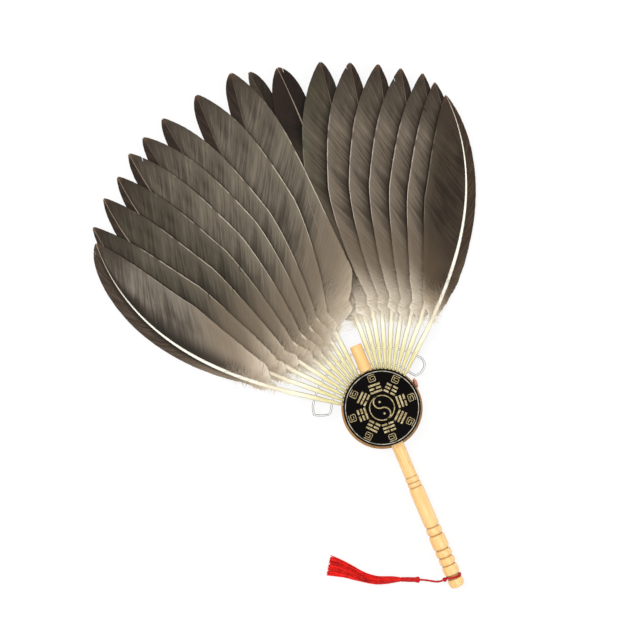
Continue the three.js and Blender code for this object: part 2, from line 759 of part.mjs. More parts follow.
function tasselSkirt() {
  const start = skirtStart();
  const ahead = new THREE.Vector3(Math.cos(skirtHeading), Math.sin(skirtHeading), 0).setLength(skirtLength);
  const aside = new THREE.Vector3(-ahead.y, ahead.x, 0);
  const places = skirtShares.map(({ along, sway }) => (
    new THREE.Vector3(start.x, start.y, 0).addScaledVector(ahead, along).addScaledVector(aside, sway)
  ));
  const line = new THREE.CatmullRomCurve3(places, false, 'centripetal');
  const rings = skirtShares.map((section, i) => {
    const tangent = line.getTangent(i / (skirtShares.length - 1));
    const across = new THREE.Vector3(-tangent.y, tangent.x, 0);
    const halfWidth = (section.width * skirtEndWidth) / 2;
    const halfThickness = (section.thickness * skirtThickness) / 2;
    const settled = Math.min(1, section.along / skirtSettleShare);
    const height = THREE.MathUtils.lerp(start.z, skirtLift + halfThickness, settled);
    const centre = places[i].clone().setZ(height);
    const depth = fluteDepthShare * Math.min(1, section.along / fluteStartShare);
    const points = [];
    for (let k = 0; k < 2 * skirtFlutes; k += 1) {
      const angle = (Math.PI * k) / skirtFlutes;
      const size = 1 - (k % 2) * depth;
      const point = centre.clone().addScaledVector(across, size * Math.cos(angle) * halfWidth);
      points.push(point.addScaledVector(up, size * Math.sin(angle) * halfThickness));
    }
    return points;
  });
  return loft(rings);
}

// The whole fan
const feathers = wings.map(wingFeathers);
const leftEnd = wingLoop(feathers[0][0], leftLoop);
const rightEnd = wingLoop(feathers[1][0], rightLoop);

addMesh('handle', handle(), finishes.wood);
addMesh('back_disc', backDisc(), finishes.backDisc);
addMesh('front_disc', frontDisc(), finishes.lacquer);
screwPlaces().forEach((y, i) => {
  addMesh(`hub_screw_${i + 1}`, screwBody(0).translate(0, y, 0), finishes.brass);
});
for (const feather of feathers.flat()) addMesh(feather.name, featherGeometry(feather), finishes.feather);
addMesh('spread_line', spreadLine(leftEnd, rightEnd), finishes.line);
addMesh('line_knot', lineKnot(rightEnd), finishes.seal);
addMesh('tassel_ring', tasselRing(), finishes.thread);
addMesh('tassel_cord', tasselCord(), finishes.thread);
addMesh('tassel_head', tasselHead(), finishes.thread);
addMesh('tassel_skirt', tasselSkirt(), finishes.thread);

export default fan;
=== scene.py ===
import math
import bmesh
import bpy
import numpy as np
from mathutils import Matrix, Vector


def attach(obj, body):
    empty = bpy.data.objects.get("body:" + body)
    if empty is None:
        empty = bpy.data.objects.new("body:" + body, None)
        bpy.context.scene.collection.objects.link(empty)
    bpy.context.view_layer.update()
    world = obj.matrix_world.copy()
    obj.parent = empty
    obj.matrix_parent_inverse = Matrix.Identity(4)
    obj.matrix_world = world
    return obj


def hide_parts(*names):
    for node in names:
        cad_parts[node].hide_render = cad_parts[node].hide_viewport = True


# A feather fan lying on its back, seen from straight above. Sizes are in millimetres until a mesh is made.
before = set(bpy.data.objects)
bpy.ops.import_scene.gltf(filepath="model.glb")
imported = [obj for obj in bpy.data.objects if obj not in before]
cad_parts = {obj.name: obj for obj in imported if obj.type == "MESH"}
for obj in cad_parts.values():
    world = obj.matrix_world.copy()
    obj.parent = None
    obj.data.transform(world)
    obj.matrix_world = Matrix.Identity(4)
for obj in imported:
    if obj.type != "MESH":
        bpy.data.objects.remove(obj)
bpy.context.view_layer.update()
mm = 0.001
quillPlane = 6.787  # height of the quills' middle line above the floor
print("frame loaded")

# Camera and the cord come first

view = {"centre": (-17.3, 80.3), "height": 900.0, "width": 492.8, "turn": 23.1}


def placed(name, data):
    made = bpy.data.objects.new(name, data)
    bpy.context.scene.collection.objects.link(made)
    return made


def makeCamera():
    data = bpy.data.cameras.new("camera")
    data.lens = data.sensor_width * view["height"] / view["width"]
    data.clip_start = 0.01
    camera = placed("camera", data)
    x, y = view["centre"]
    camera.location = Vector((x, y, view["height"] + quillPlane)) * mm
    camera.rotation_euler = (0, 0, -math.radians(view["turn"]))
    bpy.context.scene.camera = camera


# Meshes from grids: a grid is laid out, then every point is put where the shape has it


def meshOf(bm, name):
    mesh = bpy.data.meshes.new(name)
    bm.to_mesh(mesh)
    bm.free()
    return mesh


def placesOf(mesh):
    places = np.empty(len(mesh.vertices) * 3)
    mesh.vertices.foreach_get("co", places)
    return places.reshape(-1, 3)


def gridMesh(across, along, drop=None):
    # With every point's share of the way across and along; drop says which columns and rows have no face
    bm = bmesh.new()
    bmesh.ops.create_grid(bm, x_segments=across, y_segments=along, size=0.5)
    if drop is not None:
        gone = []
        for face in bm.faces:
            middle = face.calc_center_median()
            if drop(int((middle.x + 0.5) * across), int((middle.y + 0.5) * along)):
                gone.append(face)
        bmesh.ops.delete(bm, geom=gone, context="FACES")
    mesh = meshOf(bm, "grid")
    places = placesOf(mesh) + 0.5
    return mesh, places[:, 0], places[:, 1]


def setPlaces(mesh, places):
    mesh.vertices.foreach_set("co", np.asarray(places, dtype=np.float32).ravel())
    mesh.update()


def setUv(mesh, name, u, v):
    layer = mesh.uv_layers.new(name=name)
    corners = np.empty(len(mesh.loops), dtype=np.int32)
    mesh.loops.foreach_get("vertex_index", corners)
    layer.data.foreach_set("uv", np.stack([u[corners], v[corners]], axis=1).astype(np.float32).ravel())


def setEdges(mesh, edges):
    # For every point: the distances that vaneFinish takes from the attribute "edges"
    values = np.asarray(edges, dtype=np.float32).ravel()
    mesh.attributes.new("edges", "FLOAT_VECTOR", "POINT").data.foreach_set("vector", values)


def closeSeams(mesh, distance=1e-6):
    bm = bmesh.new()
    bm.from_mesh(mesh)
    bmesh.ops.remove_doubles(bm, verts=bm.verts, dist=distance)
    bmesh.ops.dissolve_degenerate(bm, dist=distance * 0.1, edges=bm.edges)
    bmesh.ops.recalc_face_normals(bm, faces=bm.faces)
    bm.to_mesh(mesh)
    bm.free()


def addPiece(name, mesh, finish, body, nodes=(), smooth=True):
    mesh.name = name
    piece = placed(name, mesh)
    mesh.materials.append(finish)
    mesh.polygons.foreach_set("use_smooth", [smooth] * len(mesh.polygons))
    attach(piece, body)
    if nodes:
        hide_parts(*nodes)
    return piece


# Lines and tubes


def smoothLine(points, count, closed=False):
    # count places at even distances on a smooth line through the points, and its length
    points = np.asarray(points, dtype=float)
    if closed:
        points = np.vstack([points[-1:], points, points[:2]])
    else:
        points = np.vstack([2 * points[0] - points[1], points, 2 * points[-1] - points[-2]])
    pieces = []
    t = np.linspace(0, 1, 12, endpoint=False)[:, None]
    for a, b, c, d in zip(points, points[1:], points[2:], points[3:]):
        pieces.append(0.5 * (2 * b + (c - a) * t + (2 * a - 5 * b + 4 * c - d) * t**2
                             + (3 * b - a - 3 * c + d) * t**3))
    dense = np.vstack(pieces + [points[-2:-1]])
    gone = np.concatenate([[0], np.cumsum(np.linalg.norm(np.diff(dense, axis=0), axis=1))])
    wanted = np.linspace(0, gone[-1], count)
    places = np.stack([np.interp(wanted, gone, dense[:, k]) for k in range(3)], axis=1)
    return places, gone[-1]


def unit(vectors):
    return vectors / np.linalg.norm(vectors, axis=1)[:, None]


def squareTo(places, closed=False):
    # At every place, the two directions square to the line, one of them level
    ahead = np.gradient(places, axis=0)
    if closed:
        ahead[0] = ahead[-1] = places[1] - places[-2]
    ahead = unit(ahead)
    aside = unit(np.cross(ahead, (0, 0, 1)))
    return aside, np.cross(aside, ahead)


def tubeMesh(places, radiusAt, sides, directions=None):
    # radiusAt(angle, share) gives the radius; both are arrays
    last = len(places) - 1
    mesh, around, along = gridMesh(sides, last)
    aside, above = directions or squareTo(places)
    row = np.rint(along * last).astype(int)
    angle = 2 * np.pi * around
    out = np.cos(angle)[:, None] * aside[row] + np.sin(angle)[:, None] * above[row]
    setPlaces(mesh, (places[row] + out * radiusAt(angle, along)[:, None]) * mm)
    return mesh, around, along


def ballMesh(middle, size, across, along, lumps=0.0):
    mesh, turn, rise = gridMesh(across, along)
    phi = 2 * np.pi * turn
    theta = np.pi * rise
    ball = np.stack([np.sin(theta) * np.cos(phi), np.cos(theta), np.sin(theta) * np.sin(phi)], axis=1)
    uneven = 1 + lumps * (0.05 * np.sin(3 * phi + 5 * theta) + 0.04 * np.cos(7 * theta))
    setPlaces(mesh, (np.array(middle) + ball * size * uneven[:, None]) * mm)
    return mesh, turn, rise


tasselCord = {
    "radius": 0.8,
    "pitch": 4.2,  # of the twist
    "lobe": 0.2,  # depth of the groove between the plies, as a share of the radius
    "route": [
        (-9.35, -141.2, 6.79), (-10.1, -141.2, 6.72), (-11.1, -141.12, 6.42), (-12.4, -140.92, 5.9),
        (-14, -140.5, 5.2), (-15.2, -140, 4.55), (-16.4, -139.4, 4), (-17.6, -138.75, 3.6),
        (-18.8, -138.1, 3.3), (-20, -137.4, 3.1), (-21.3, -136.65, 3), (-22.6, -135.95, 2.95),
        (-23.9, -135.3, 2.9), (-25.2, -134.7, 2.9), (-28.2, -133.35, 2.9), (-31.2, -132, 2.9),
        (-34.2, -130.65, 2.9), (-37.2, -129.3, 2.9),
    ],
}


def makeTasselCord(finish, skirtFinish):
    places, length = smoothLine(tasselCord["route"], 150)
    turns = length / tasselCord["pitch"]

    def ply(angle, share):
        groove = 1 - np.abs(np.cos(angle - np.pi * turns * share))
        return tasselCord["radius"] * (1 - tasselCord["lobe"] * groove**2)

    mesh, around, along = tubeMesh(places, ply, 14)
    setUv(mesh, "cord", around, along * length)
    closeSeams(mesh, 1e-7)
    piece = addPiece("tassel_cord_twisted", mesh, finish, "tassel", ["tassel_cord"])
    makeHead(finish)
    makeSkirt(skirtFinish)


# Finishes


def operator(name, turned=False):
    def apply(self, other=0.0):
        first, second = (other, self) if turned else (self, other)
        return self.nodes.node("Math", {0: first, 1: second}, operation=name)
    return apply


class Signal:
    # A socket that can stand in a sum
    def __init__(self, nodes, socket):
        self.nodes = nodes
        self.socket = socket

    __add__ = operator("ADD")
    __radd__ = operator("ADD", turned=True)
    __sub__ = operator("SUBTRACT")
    __rsub__ = operator("SUBTRACT", turned=True)
    __mul__ = operator("MULTIPLY")
    __rmul__ = operator("MULTIPLY", turned=True)
    __pow__ = operator("POWER")
    __abs__ = operator("ABSOLUTE")

    def ramp(self, low, high):
        # 0 below low, 1 above high, smooth between
        return self.nodes.node("MapRange", {0: self, 1: low, 2: high, 3: 0.0, 4: 1.0},
                               interpolation_type="SMOOTHSTEP")


class Nodes:
    def __init__(self, tree):
        self.tree = tree

    def node(self, kind, values=(), output=0, **settings):
        made = self.tree.nodes.new("ShaderNode" + kind)
        for key, value in settings.items():
            setattr(made, key, value)
        for key, value in dict(values).items():
            self.feed(made.inputs[key], value)
        return Signal(self, made.outputs[output])

    def feed(self, socket, value):
        if isinstance(value, Signal):
            self.tree.links.new(value.socket, socket)
        else:
            socket.default_value = value

    def part(self, vector, index):
        return self.node("SeparateXYZ", {0: vector}, output=index)

    def showSurroundings(self, lit, white, share=1.0):
        # What is lit, but white to the rays that show the surroundings
        seen = sum(self.node("LightPath", output=name) for name in studio["seenBy"])
        return self.node("MixShader", {0: seen * share, 1: lit, 2: white})


class Finish(Nodes):
    def __init__(self, name):
        self.material = bpy.data.materials.new(name)
        self.material.use_nodes = True
        super().__init__(self.material.node_tree)
        self.shader = self.tree.nodes["Principled BSDF"]
        self.body = (0.9, 0.9, 0.9, 1)

    def paint(self, share, tone):
        # One more layer of colour
        self.body = self.mix(share, self.body, tone)

    def set(self, values):
        for key, value in {"Base Color": self.body, **values}.items():
            self.feed(self.shader.inputs[key], value)
        return self.material

    def objectPlaces(self):
        return self.node("TexCoord", output=3)

    def uv(self, name):
        return self.node("UVMap", uv_map=name)

    def attribute(self, name, output):
        return self.node("Attribute", output=output, attribute_name=name)

    def facing(self):
        # How far the surface faces upwards, 0 to 1
        return self.part(self.node("NewGeometry", output=1), 2)

    def noise(self, vector, scale, detail=2.0, roughness=0.5, distortion=0.0):
        # With three scales it is stretched
        if isinstance(scale, tuple):
            vector = self.node("Mapping", {"Vector": vector, "Scale": scale})
            scale = 1.0
        return self.node("TexNoise", {"Vector": vector, "Scale": scale, "Detail": detail,
                                      "Roughness": roughness, "Distortion": distortion})

    def mix(self, share, first, second):
        # A colour is a socket or the numbers of a colour picker
        first, second = (colour(*tone) if isinstance(tone, tuple) else tone for tone in (first, second))
        return self.node("Mix", {0: share, 6: first, 7: second}, output=2, data_type="RGBA")

    def bump(self, height, strength, distance):
        return self.node("Bump", {"Strength": strength, "Distance": distance, "Height": height})


def colour(red, green, blue):
    # from the numbers of a colour picker to the shader's own scale
    def plain(value):
        value /= 255
        return value / 12.92 if value <= 0.04045 else ((value + 0.055) / 1.055) ** 2.4
    return (plain(red), plain(green), plain(blue), 1.0)


def vaneFinish(name, tones):
    # The map runs from the shaft (0) to the edge (1, or -1 on the narrow side), and in mm from the root.
    # The edges are the distances to the tip, to the vane's own edge and beyond that of the feather above.
    finish = Finish(name)
    places = finish.uv("vane")
    across, fromRoot = (finish.part(places, index) for index in range(2))
    edges = finish.attribute("edges", 1)
    toTip, toEdge, beyond = (finish.part(edges, index) for index in range(3))
    strands = finish.noise(places, (1.1, 2.6, 1), 2.0, 0.6)
    tufts = finish.noise(places, (1.0, 0.42, 1), 3.0, 0.6)
    clouds = finish.noise(places, (1.4, 0.045, 1), 3.0, 0.5)
    mottled = (clouds * 0.9 + tufts * 0.75 + strands * 0.45).ramp(0.8, 1.3)
    finish.body = finish.mix(mottled, tones["dark"], tones["light"])
    # Painted light: the vane is painted paler within a few mm of its own edge, as if lit there
    paintedEdgeLight = (1 - toEdge.ramp(0.6, 6.5)) * across.ramp(0.1, 0.4)
    finish.paint(paintedEdgeLight * 0.35, tones["pale"])
    nearTip = 1 - (toTip + tufts * 22).ramp(12.0, 60.0)
    finish.paint(nearTip * 0.8, tones["tip"])
    narrow = (0 - across).ramp(0.0, 0.12)
    streaked = (tufts * 0.7 + strands * 0.5).ramp(0.45, 0.8)
    outer = finish.mix(streaked, tones["outerDark"], tones["outerLight"])
    finish.paint(narrow * tones.get("outerShare", 0.95), outer)
    beforeTip = (1 - (toTip + strands * 3).ramp(1.5, 8.0)) * 0.8
    finish.paint(beforeTip, tones["tipEnd"])
    # Painted shade: the vane is painted darker for some mm beyond the wide edge of the feather that lies
    # over it
    shadeShare, *contactShadowShares = tones["covered"]
    firm = fromRoot.ramp(tones["softEnds"][0] - 14, tones["softEnds"][1] - 14)
    finish.paint((1 - (beyond + tufts * 5).ramp(1.0, 11.0)) * firm * shadeShare, tones["shade"])
    # Painted shadow: a thin dark line just beyond the edge of the feather above, strongest towards the tip
    contactShadow = between(contactShadowShares, toTip.ramp(50.0, 105.0))
    finish.paint((1 - (beyond + clouds).ramp(0.5, 1.7)) * firm * contactShadow, tones["contactShadow"])
    # Painted shade: a dark band along the shaft, in the shade tone
    shadeBesideShaft = (1 - abs(across).ramp(0.06, 0.5)) * tones["shadeBesideShaft"]
    finish.paint(shadeBesideShaft, tones["shade"])
    # A pale rim along the wide edge, partly the edge's own paler colour and partly a painted highlight
    rim = (1 - toEdge.ramp(0.3, 0.9)) * across.ramp(0.3, 0.6)
    rim = rim * clouds.ramp(0.44, 0.56) * toTip.ramp(8.0, 30.0)
    finish.paint(rim * tones["rimShare"], tones["rim"])
    soft = 1 - (fromRoot + clouds * 20 + tufts * 14).ramp(*tones["softEnds"])
    finish.paint(soft * (1 - shadeBesideShaft * 0.85) * 0.75, tones["soft"])
    down = 1 - (fromRoot + clouds * 14 + tufts * 16).ramp(*tones["downEnds"])
    finish.paint(down, finish.mix(tufts.ramp(0.3, 0.55), tones["downDark"], tones["down"]))
    ends = 1 - (fromRoot + tufts * 8).ramp(1.0, 15.0)
    finish.paint(ends * 0.75, (243, 236, 219))
    return finish.set({
        "Roughness": 0.66 + tufts * 0.2,
        "Normal": finish.bump(strands * 0.6 + tufts * 0.7, 0.5, 0.0006),
        "Specular IOR Level": 0.14,
    })


def shaftFinish(name, middle, tip):
    finish = Finish(name)
    places = finish.uv("shaft")
    along = finish.part(places, 1)
    # Painted shade: the quill's sides, where its surface turns away from above, are painted darker, most
    # near the hub
    shadedFlank = 1 - finish.facing().ramp(0.2, 0.72)
    fibres = finish.noise(places, (5.0, 0.12, 1), 3.0, 0.6)
    spots = finish.noise(places, (1.0, 0.08, 1), 1.0)
    near = finish.mix(fibres.ramp(0.35, 0.7), (208, 194, 134), (234, 226, 178))
    bare = finish.mix(fibres.ramp(0.3, 0.7), (244, 238, 206), (250, 248, 232))
    finish.body = finish.mix((along + spots * 16).ramp(48.0, 76.0), near, bare)
    finish.paint(shadedFlank * (1 - along.ramp(60.0, 84.0) * 0.6), (158, 140, 84))
    finish.paint((along + spots * 12).ramp(70.0, 88.0) * 0.5, (206, 190, 160))
    finish.paint((along + spots * 20).ramp(88.0, 118.0), middle)
    finish.paint(along.ramp(200.0, 262.0), tip)
    return finish.set({
        "Roughness": 0.4 + fibres * 0.2,
        "Normal": finish.bump(fibres, 0.25, 0.0003),
        "Specular IOR Level": 0.3,
    })


def woodFinish(name, pale, deep, line, gloss, notched=False):
    finish = Finish(name)
    places = finish.objectPlaces()
    grain = finish.noise(places, (520, 26, 520), 5.0, 0.62, 0.4)
    bands = finish.noise(places, (160, 5, 160))
    pores = finish.noise(places, (1500, 70, 1500))
    finish.body = finish.mix((grain * 0.6 + bands * 0.5).ramp(0.38, 0.72), pale, deep)
    finish.paint(pores.ramp(0.6, 0.74) * 0.35, line)
    # Painted shade: the sides, where the surface turns away from above, are painted in the deeper tone
    finish.paint((1 - finish.facing().ramp(0.1, 0.7)) * 0.75, deep)
    if notched:
        fromNotch = finish.attribute("fromNotch", 2)
        finish.paint((1 - (fromNotch + grain * 0.2).ramp(0.2, 1.0)) * 0.5, line)
        # A deeper tone on the stick's top end, above the discs
        finish.paint(finish.part(places, 1).ramp(0.026, 0.034) * 0.6, deep)
    return finish.set({
        "Roughness": gloss + grain * 0.14,
        "Normal": finish.bump(pores * 0.5 + grain * 0.5, 0.15, 0.0003),
        "Coat Weight": 0.15,
        "Coat Roughness": 0.2,
    })


def lacquerFinish():
    finish = Finish("lacquer_black")
    places = finish.objectPlaces()
    dust = finish.noise(places, 2600.0)
    finish.body = finish.mix(dust.ramp(0.55, 0.8), (4, 2, 2), (12, 9, 7))
    return finish.set({
        "Roughness": 0.24 + dust * 0.18,
        "Normal": finish.bump(finish.noise(places, 90.0), 0.08, 0.0004),
        "Specular IOR Level": 0.03,
        "Coat Weight": 0.01,
        "Coat Roughness": 0.08,
    })


def gildFinish():
    finish = Finish("gilt_paint")
    places = finish.objectPlaces()
    blotch = finish.noise(places, 700.0, 3.0, 0.6)
    paleSpots = finish.noise(places, 240.0)
    finish.body = finish.mix(blotch.ramp(0.36, 0.66), (124, 104, 62), (180, 166, 124))
    # Pale spots here and there on the gilt; the same noise sets the ring between a darker and a lighter
    # silver
    finish.paint(paleSpots.ramp(0.56, 0.72) * 0.5, (204, 194, 164))
    fromAxis = (finish.part(places, 0) ** 2 + finish.part(places, 1) ** 2) ** 0.5
    silver = finish.mix(paleSpots.ramp(0.36, 0.6), (122, 114, 98), (178, 172, 158))
    finish.paint(fromAxis.ramp(0.0271, 0.0275), silver)
    return finish.set({
        "Roughness": 0.34 + blotch * 0.2,
        "Metallic": 0.25,
        "Normal": finish.bump(blotch, 0.25, 0.0002),
    })


def threadFinish(name, lightTone, deepTone, scale):
    finish = Finish(name)
    strands = finish.noise(finish.uv("cord"), scale, 3.0, 0.6)
    clumps = finish.noise(finish.objectPlaces(), 260.0)
    finish.body = finish.mix((strands * 0.8 + clumps * 0.3).ramp(0.38, 0.66), deepTone, lightTone)
    return finish.set({
        "Roughness": 0.42 + strands * 0.2,
        "Normal": finish.bump(strands, 0.4, 0.0002),
        "Specular IOR Level": 0.2,
    })


def lineFinish():
    finish = Finish("nylon_line")
    haze = finish.noise(finish.objectPlaces(), 500.0)
    finish.body = finish.mix(haze, (236, 236, 232), (252, 252, 250))
    # Painted shade: the clear line's sides, where its surface turns away from above, are painted grey
    finish.paint(1 - finish.facing().ramp(0.7, 0.985), (92, 84, 80))
    return finish.set({
        "Roughness": 0.1 + haze * 0.12,
        "IOR": 1.53,
        "Transmission Weight": 0.15,
    })


def sealFinish():
    finish = Finish("sealed_knot")
    lumps = finish.noise(finish.objectPlaces(), 420.0, 3.0, 0.6)
    finish.body = finish.mix(lumps.ramp(0.3, 0.62), (116, 62, 44), (196, 132, 104))
    return finish.set({
        "Roughness": 0.28 + lumps * 0.3,
        "Normal": finish.bump(lumps, 0.5, 0.0005),
        "Coat Weight": 0.4,
        "Coat Roughness": 0.15,
    })


def brassFinish():
    finish = Finish("screw_brass")
    scratch = finish.noise(finish.objectPlaces(), (300, 2600, 300), 3.0, 0.6)
    finish.body = finish.mix(scratch.ramp(0.35, 0.7), (150, 118, 60), (206, 176, 104))
    return finish.set({
        "Roughness": 0.25 + scratch * 0.25,
        "Metallic": 1.0,
        "Normal": finish.bump(scratch, 0.1, 0.0002),
    })


# The feathers' lines. 1 is the outermost of a wing; the narrow vane is on its outer side

plume = {
    # the line: places along it, and how the quill grows and the shaft thins
    "offset": 4.9, "start": 18.0, "quillFull": 60.0, "shaftStart": 72.0, "longest": 283.0,
    "taper": 0.041, "quill": 2.05, "tip": 0.3, "taperPower": 1.4, "bendStart": 60.0, "bendPower": 1.6,
    "flattened": 0.2, "crest": 0.12, "slimmer": 0.95, "rounded": 2.0, "endsBefore": 1.0,
    # the outline of the vanes, from the outermost feather to the innermost where there are two
    "wide": 36.0, "wideFull": 175.0, "wideTaper": 36.0, "growth": 0.68, "rounding": 1.35, "blunt": 1.2,
    "narrow": (5.3, 8.6), "narrowFull": 122.0, "narrowTaper": (18.0, 8.0),
    # how the vanes lie
    "wideCamber": 2.2, "narrowCamber": 0.4, "narrowCamberAt": 6.0, "thickness": 0.5, "layer": 0.4,
    "ridge": 0.75, "leastTilt": 5.5, "rest": 3.2, "settle": 60.0, "belly": 150.0, "rise": 7.0,
    "dropStart": 58.0, "dropLength": 26.0, "angleGrowth": 0.1,
}
wings = {
    "left": {
        "side": -1, "inner": 4.7, "outer": 53.6,
        "lengths": [0.947, 0.954, 0.968, 0.968, 0.982, 0.982, 0.986, 0.989, 1],
        "bends": [60, 44, 38.5, 31.2, 23.7, 15, 9.6, 12.3, 15],
        "roots": [86, 76, 69, 61, 58, 56, 61, 65, 69],
        "outermostVane": {"width": 10.2, "start": 88.0, "full": 205.0, "taper": 14.0},
    },
    "right": {
        "side": 1, "inner": 3.4, "outer": 49.4,
        "lengths": [0.908, 0.919, 0.926, 0.929, 0.935, 0.942, 0.954, 0.968, 0.982],
        "bends": [54.5, 40.5, 27.3, 19.8, 13, 9.5, 7, 12.3, 9.8],
        "roots": [79, 73, 68, 71, 69, 72, 68, 71, 68],
        "outermostVane": {"width": 8.4, "start": 72.0, "full": 115.0, "taper": 34.0},
    },
}
habits = {  # feathers that lie or grow otherwise than the rest
    "feather_right_7": {"drop": 0, "tilt": 0.6, "width": 1, "full": 168.0, "fluff": 13.0},
    "feather_right_8": {"drop": 0.6, "tilt": 0, "width": 1, "full": 122.0, "taper": 24.0, "narrow": 11.0,
                        "fluff": 20.0, "pale": 30.0},
    "feather_right_9": {"drop": 1.8, "tilt": 0, "width": 0.7, "full": 122.0, "pale": 24.0},
    "feather_left_7": {"drop": 0, "tilt": 1, "width": 0.9, "full": 175.0},
    "feather_left_9": {"drop": 0, "tilt": 0.95, "width": 0.98, "full": 106.0, "fluff": 22.0, "down": 1.9},
}


def shareOf(value, low, high):
    return np.clip((value - low) / (high - low), 0, 1)


def smoothStep(value):
    share = np.clip(value, 0, 1)
    return share * share * (3 - 2 * share)


def between(pair, share):
    return pair[0] + (pair[1] - pair[0]) * share


def flatQuill(s):
    # 0 where the quill is round and bare, 1 where the vanes stand at their full tilt
    return smoothStep((s - plume["quillFull"]) / (2 * (plume["shaftStart"] - plume["quillFull"])))


def angleOf(wing, number):
    share = (9 - number) / 8
    grown = (1 - plume["angleGrowth"]) * share + plume["angleGrowth"] * share**2
    return math.radians(between((wing["inner"], wing["outer"]), grown))


closestStep = min(angleOf(wing, 8) - angleOf(wing, 9) for wing in wings.values())


def featherLine(wingName, number, inner):
    wing = wings[wingName]
    side = wing["side"]
    name = f"feather_{wingName}_{number}"
    length = plume["longest"] * wing["lengths"][number - 1]
    habit = habits.get(name, {"drop": 0, "tilt": 1, "width": 1, "full": plume["wideFull"]})
    rank = (number - 1) / 8
    narrow = wing["outermostVane"] if number == 1 else {
        "width": habit.get("narrow", between(plume["narrow"], rank)), "start": plume["shaftStart"],
        "full": plume["narrowFull"], "taper": between(plume["narrowTaper"], rank),
    }
    s = np.linspace(0, length, 300)
    angle = side * angleOf(wing, number)
    bend = math.radians(wing["bends"][number - 1])
    heading = angle - side * bend * shareOf(s, plume["bendStart"], length) ** plume["bendPower"]
    steps = np.diff(s)
    middle = (heading[1:] + heading[:-1]) / 2
    x = side * math.cos(angle) * plume["offset"] + np.concatenate([[0], np.cumsum(np.sin(middle) * steps)])
    y = -side * math.sin(angle) * plume["offset"] + np.concatenate([[0], np.cumsum(np.cos(middle) * steps)])
    thinned = (1 - shareOf(s, plume["shaftStart"], length)) ** plume["taperPower"]
    radius = between((plume["tip"], plume["quill"]), thinned)
    radius = np.where(s < plume["quillFull"], np.minimum(plume["taper"] * s, plume["quill"]), radius)
    lift = plume["ridge"] * radius + plume["thickness"] + plume["layer"]
    share = flatQuill(s)
    steep = np.arcsin(lift / (np.maximum(s, plume["quillFull"]) * closestStep))
    tilt = share * np.maximum(steep, math.radians(plume["leastTilt"]))
    raised = np.zeros_like(s)
    if inner is not None:
        line = np.stack([inner["x"], inner["y"]], axis=1)[inner["s"] >= plume["bendStart"]]
        apart = np.linalg.norm(np.stack([x, y], axis=1)[:, None] - line[None], axis=2).min(axis=1)
        missing = np.maximum(0, lift - apart * np.sin(tilt)) * share
        raised = np.interp(s, inner["s"], inner["raised"]) + np.where(s > plume["bendStart"], missing, 0)
    settled = between((quillPlane, plume["rest"]), smoothStep((s - plume["bendStart"]) / plume["settle"]))
    rise = plume["rise"] * shareOf(s, plume["belly"], length) ** 2
    drop = habit["drop"] * smoothStep((s - plume["dropStart"]) / plume["dropLength"])
    return {
        "name": name, "side": side, "rank": rank, "length": length, "habit": habit, "narrow": narrow,
        "root": wing["roots"][number - 1], "s": s, "x": x, "y": y, "z": settled + rise - drop + raised,
        "heading": heading, "radius": radius, "tilt": habit["tilt"] * tilt, "raised": raised,
    }


def onFeather(line, s, inwards, height):
    # The place on a feather at s along it, inwards from its shaft and height above its sheet
    keys = ("x", "y", "z", "heading", "tilt")
    x, y, z, heading, tilt = (np.interp(s, line["s"], line[key]) for key in keys)
    side = line["side"]
    level = inwards * np.cos(tilt) - height * np.sin(tilt)
    places = [
        x - side * np.cos(heading) * level,
        y + side * np.sin(heading) * level,
        z + inwards * np.sin(tilt) + height * np.cos(tilt),
    ]
    return np.stack(places, axis=1)


def vaneWidth(line, s, wide):
    shape = line["narrow"]
    if wide:
        habit = line["habit"]
        widest = plume["wide"] if habit["tilt"] > 0 else np.minimum(plume["wide"], closestStep * s)
        shape = {"width": habit["width"] * widest, "start": plume["shaftStart"], "full": habit["full"],
                 "taper": habit.get("taper", plume["wideTaper"])}
    left = 1 - shareOf(s, shape["start"], shape["full"])
    growth = (1 - left ** plume["rounding"]) ** plume["growth"]
    toTip = np.maximum(line["length"] - s, 0)
    toTip = toTip + plume["blunt"] * (1 - np.exp(-toTip))
    return shape["width"] * growth * (1 - np.exp(-toTip / shape["taper"]))


def camber(inwards):
    up = plume["wideCamber"] * (inwards / plume["wide"]) ** 2
    outwards = np.minimum(1, np.abs(inwards) / plume["narrowCamberAt"])
    return np.where(inwards > 0, up, plume["narrowCamber"] * outwards)


# Vanes: each row of a grid is a barb that leaves the shaft, leans to the tip and ends on the vane's edge

vane = {
    "rows": 470, "columns": 10, "endsBefore": 0.4, "inShaft": 0.7, "leastReach": 0.15,
    # clumps of barbs: how long, how often and how far they open, and where a split begins
    "clumps": (5.0, 16.0), "open": 0.06, "gap": (0.1, 0.45), "splitFrom": (0.8, 0.97),
    # how the barbs leave the shaft
    "wideAngle": 43.0, "narrowAngle": 27.0, "rootAngle": 82.0, "lean": 1.35, "shortOfTip": 0.86,
    # the soft barbs near the root: where they end, how far they reach, hang and lie over the next quill
    "softFrom": 5.0, "rootLength": 42.0, "fluff": (12.0, 4.5), "fluffGrowth": 7.0, "droop": 0.8,
    "over": 2.3, "overWithin": 5.0,
    # unevenness of the edge and of the surface
    "broad": 0.12, "broadRows": 9, "fine": 0.6, "edge": (0.08, 0.5), "pullPower": 2.5,
    "wave": 0.1, "rolling": 0.8, "waveLength": 5.3, "puffs": (0.3, 0.15), "puffLength": 2.9,
}


def overQuill(s, inwards):
    # How much higher the soft barbs lie to pass over the next quill
    return vane["over"] * (1 - flatQuill(s)) * smoothStep(inwards / vane["overWithin"])


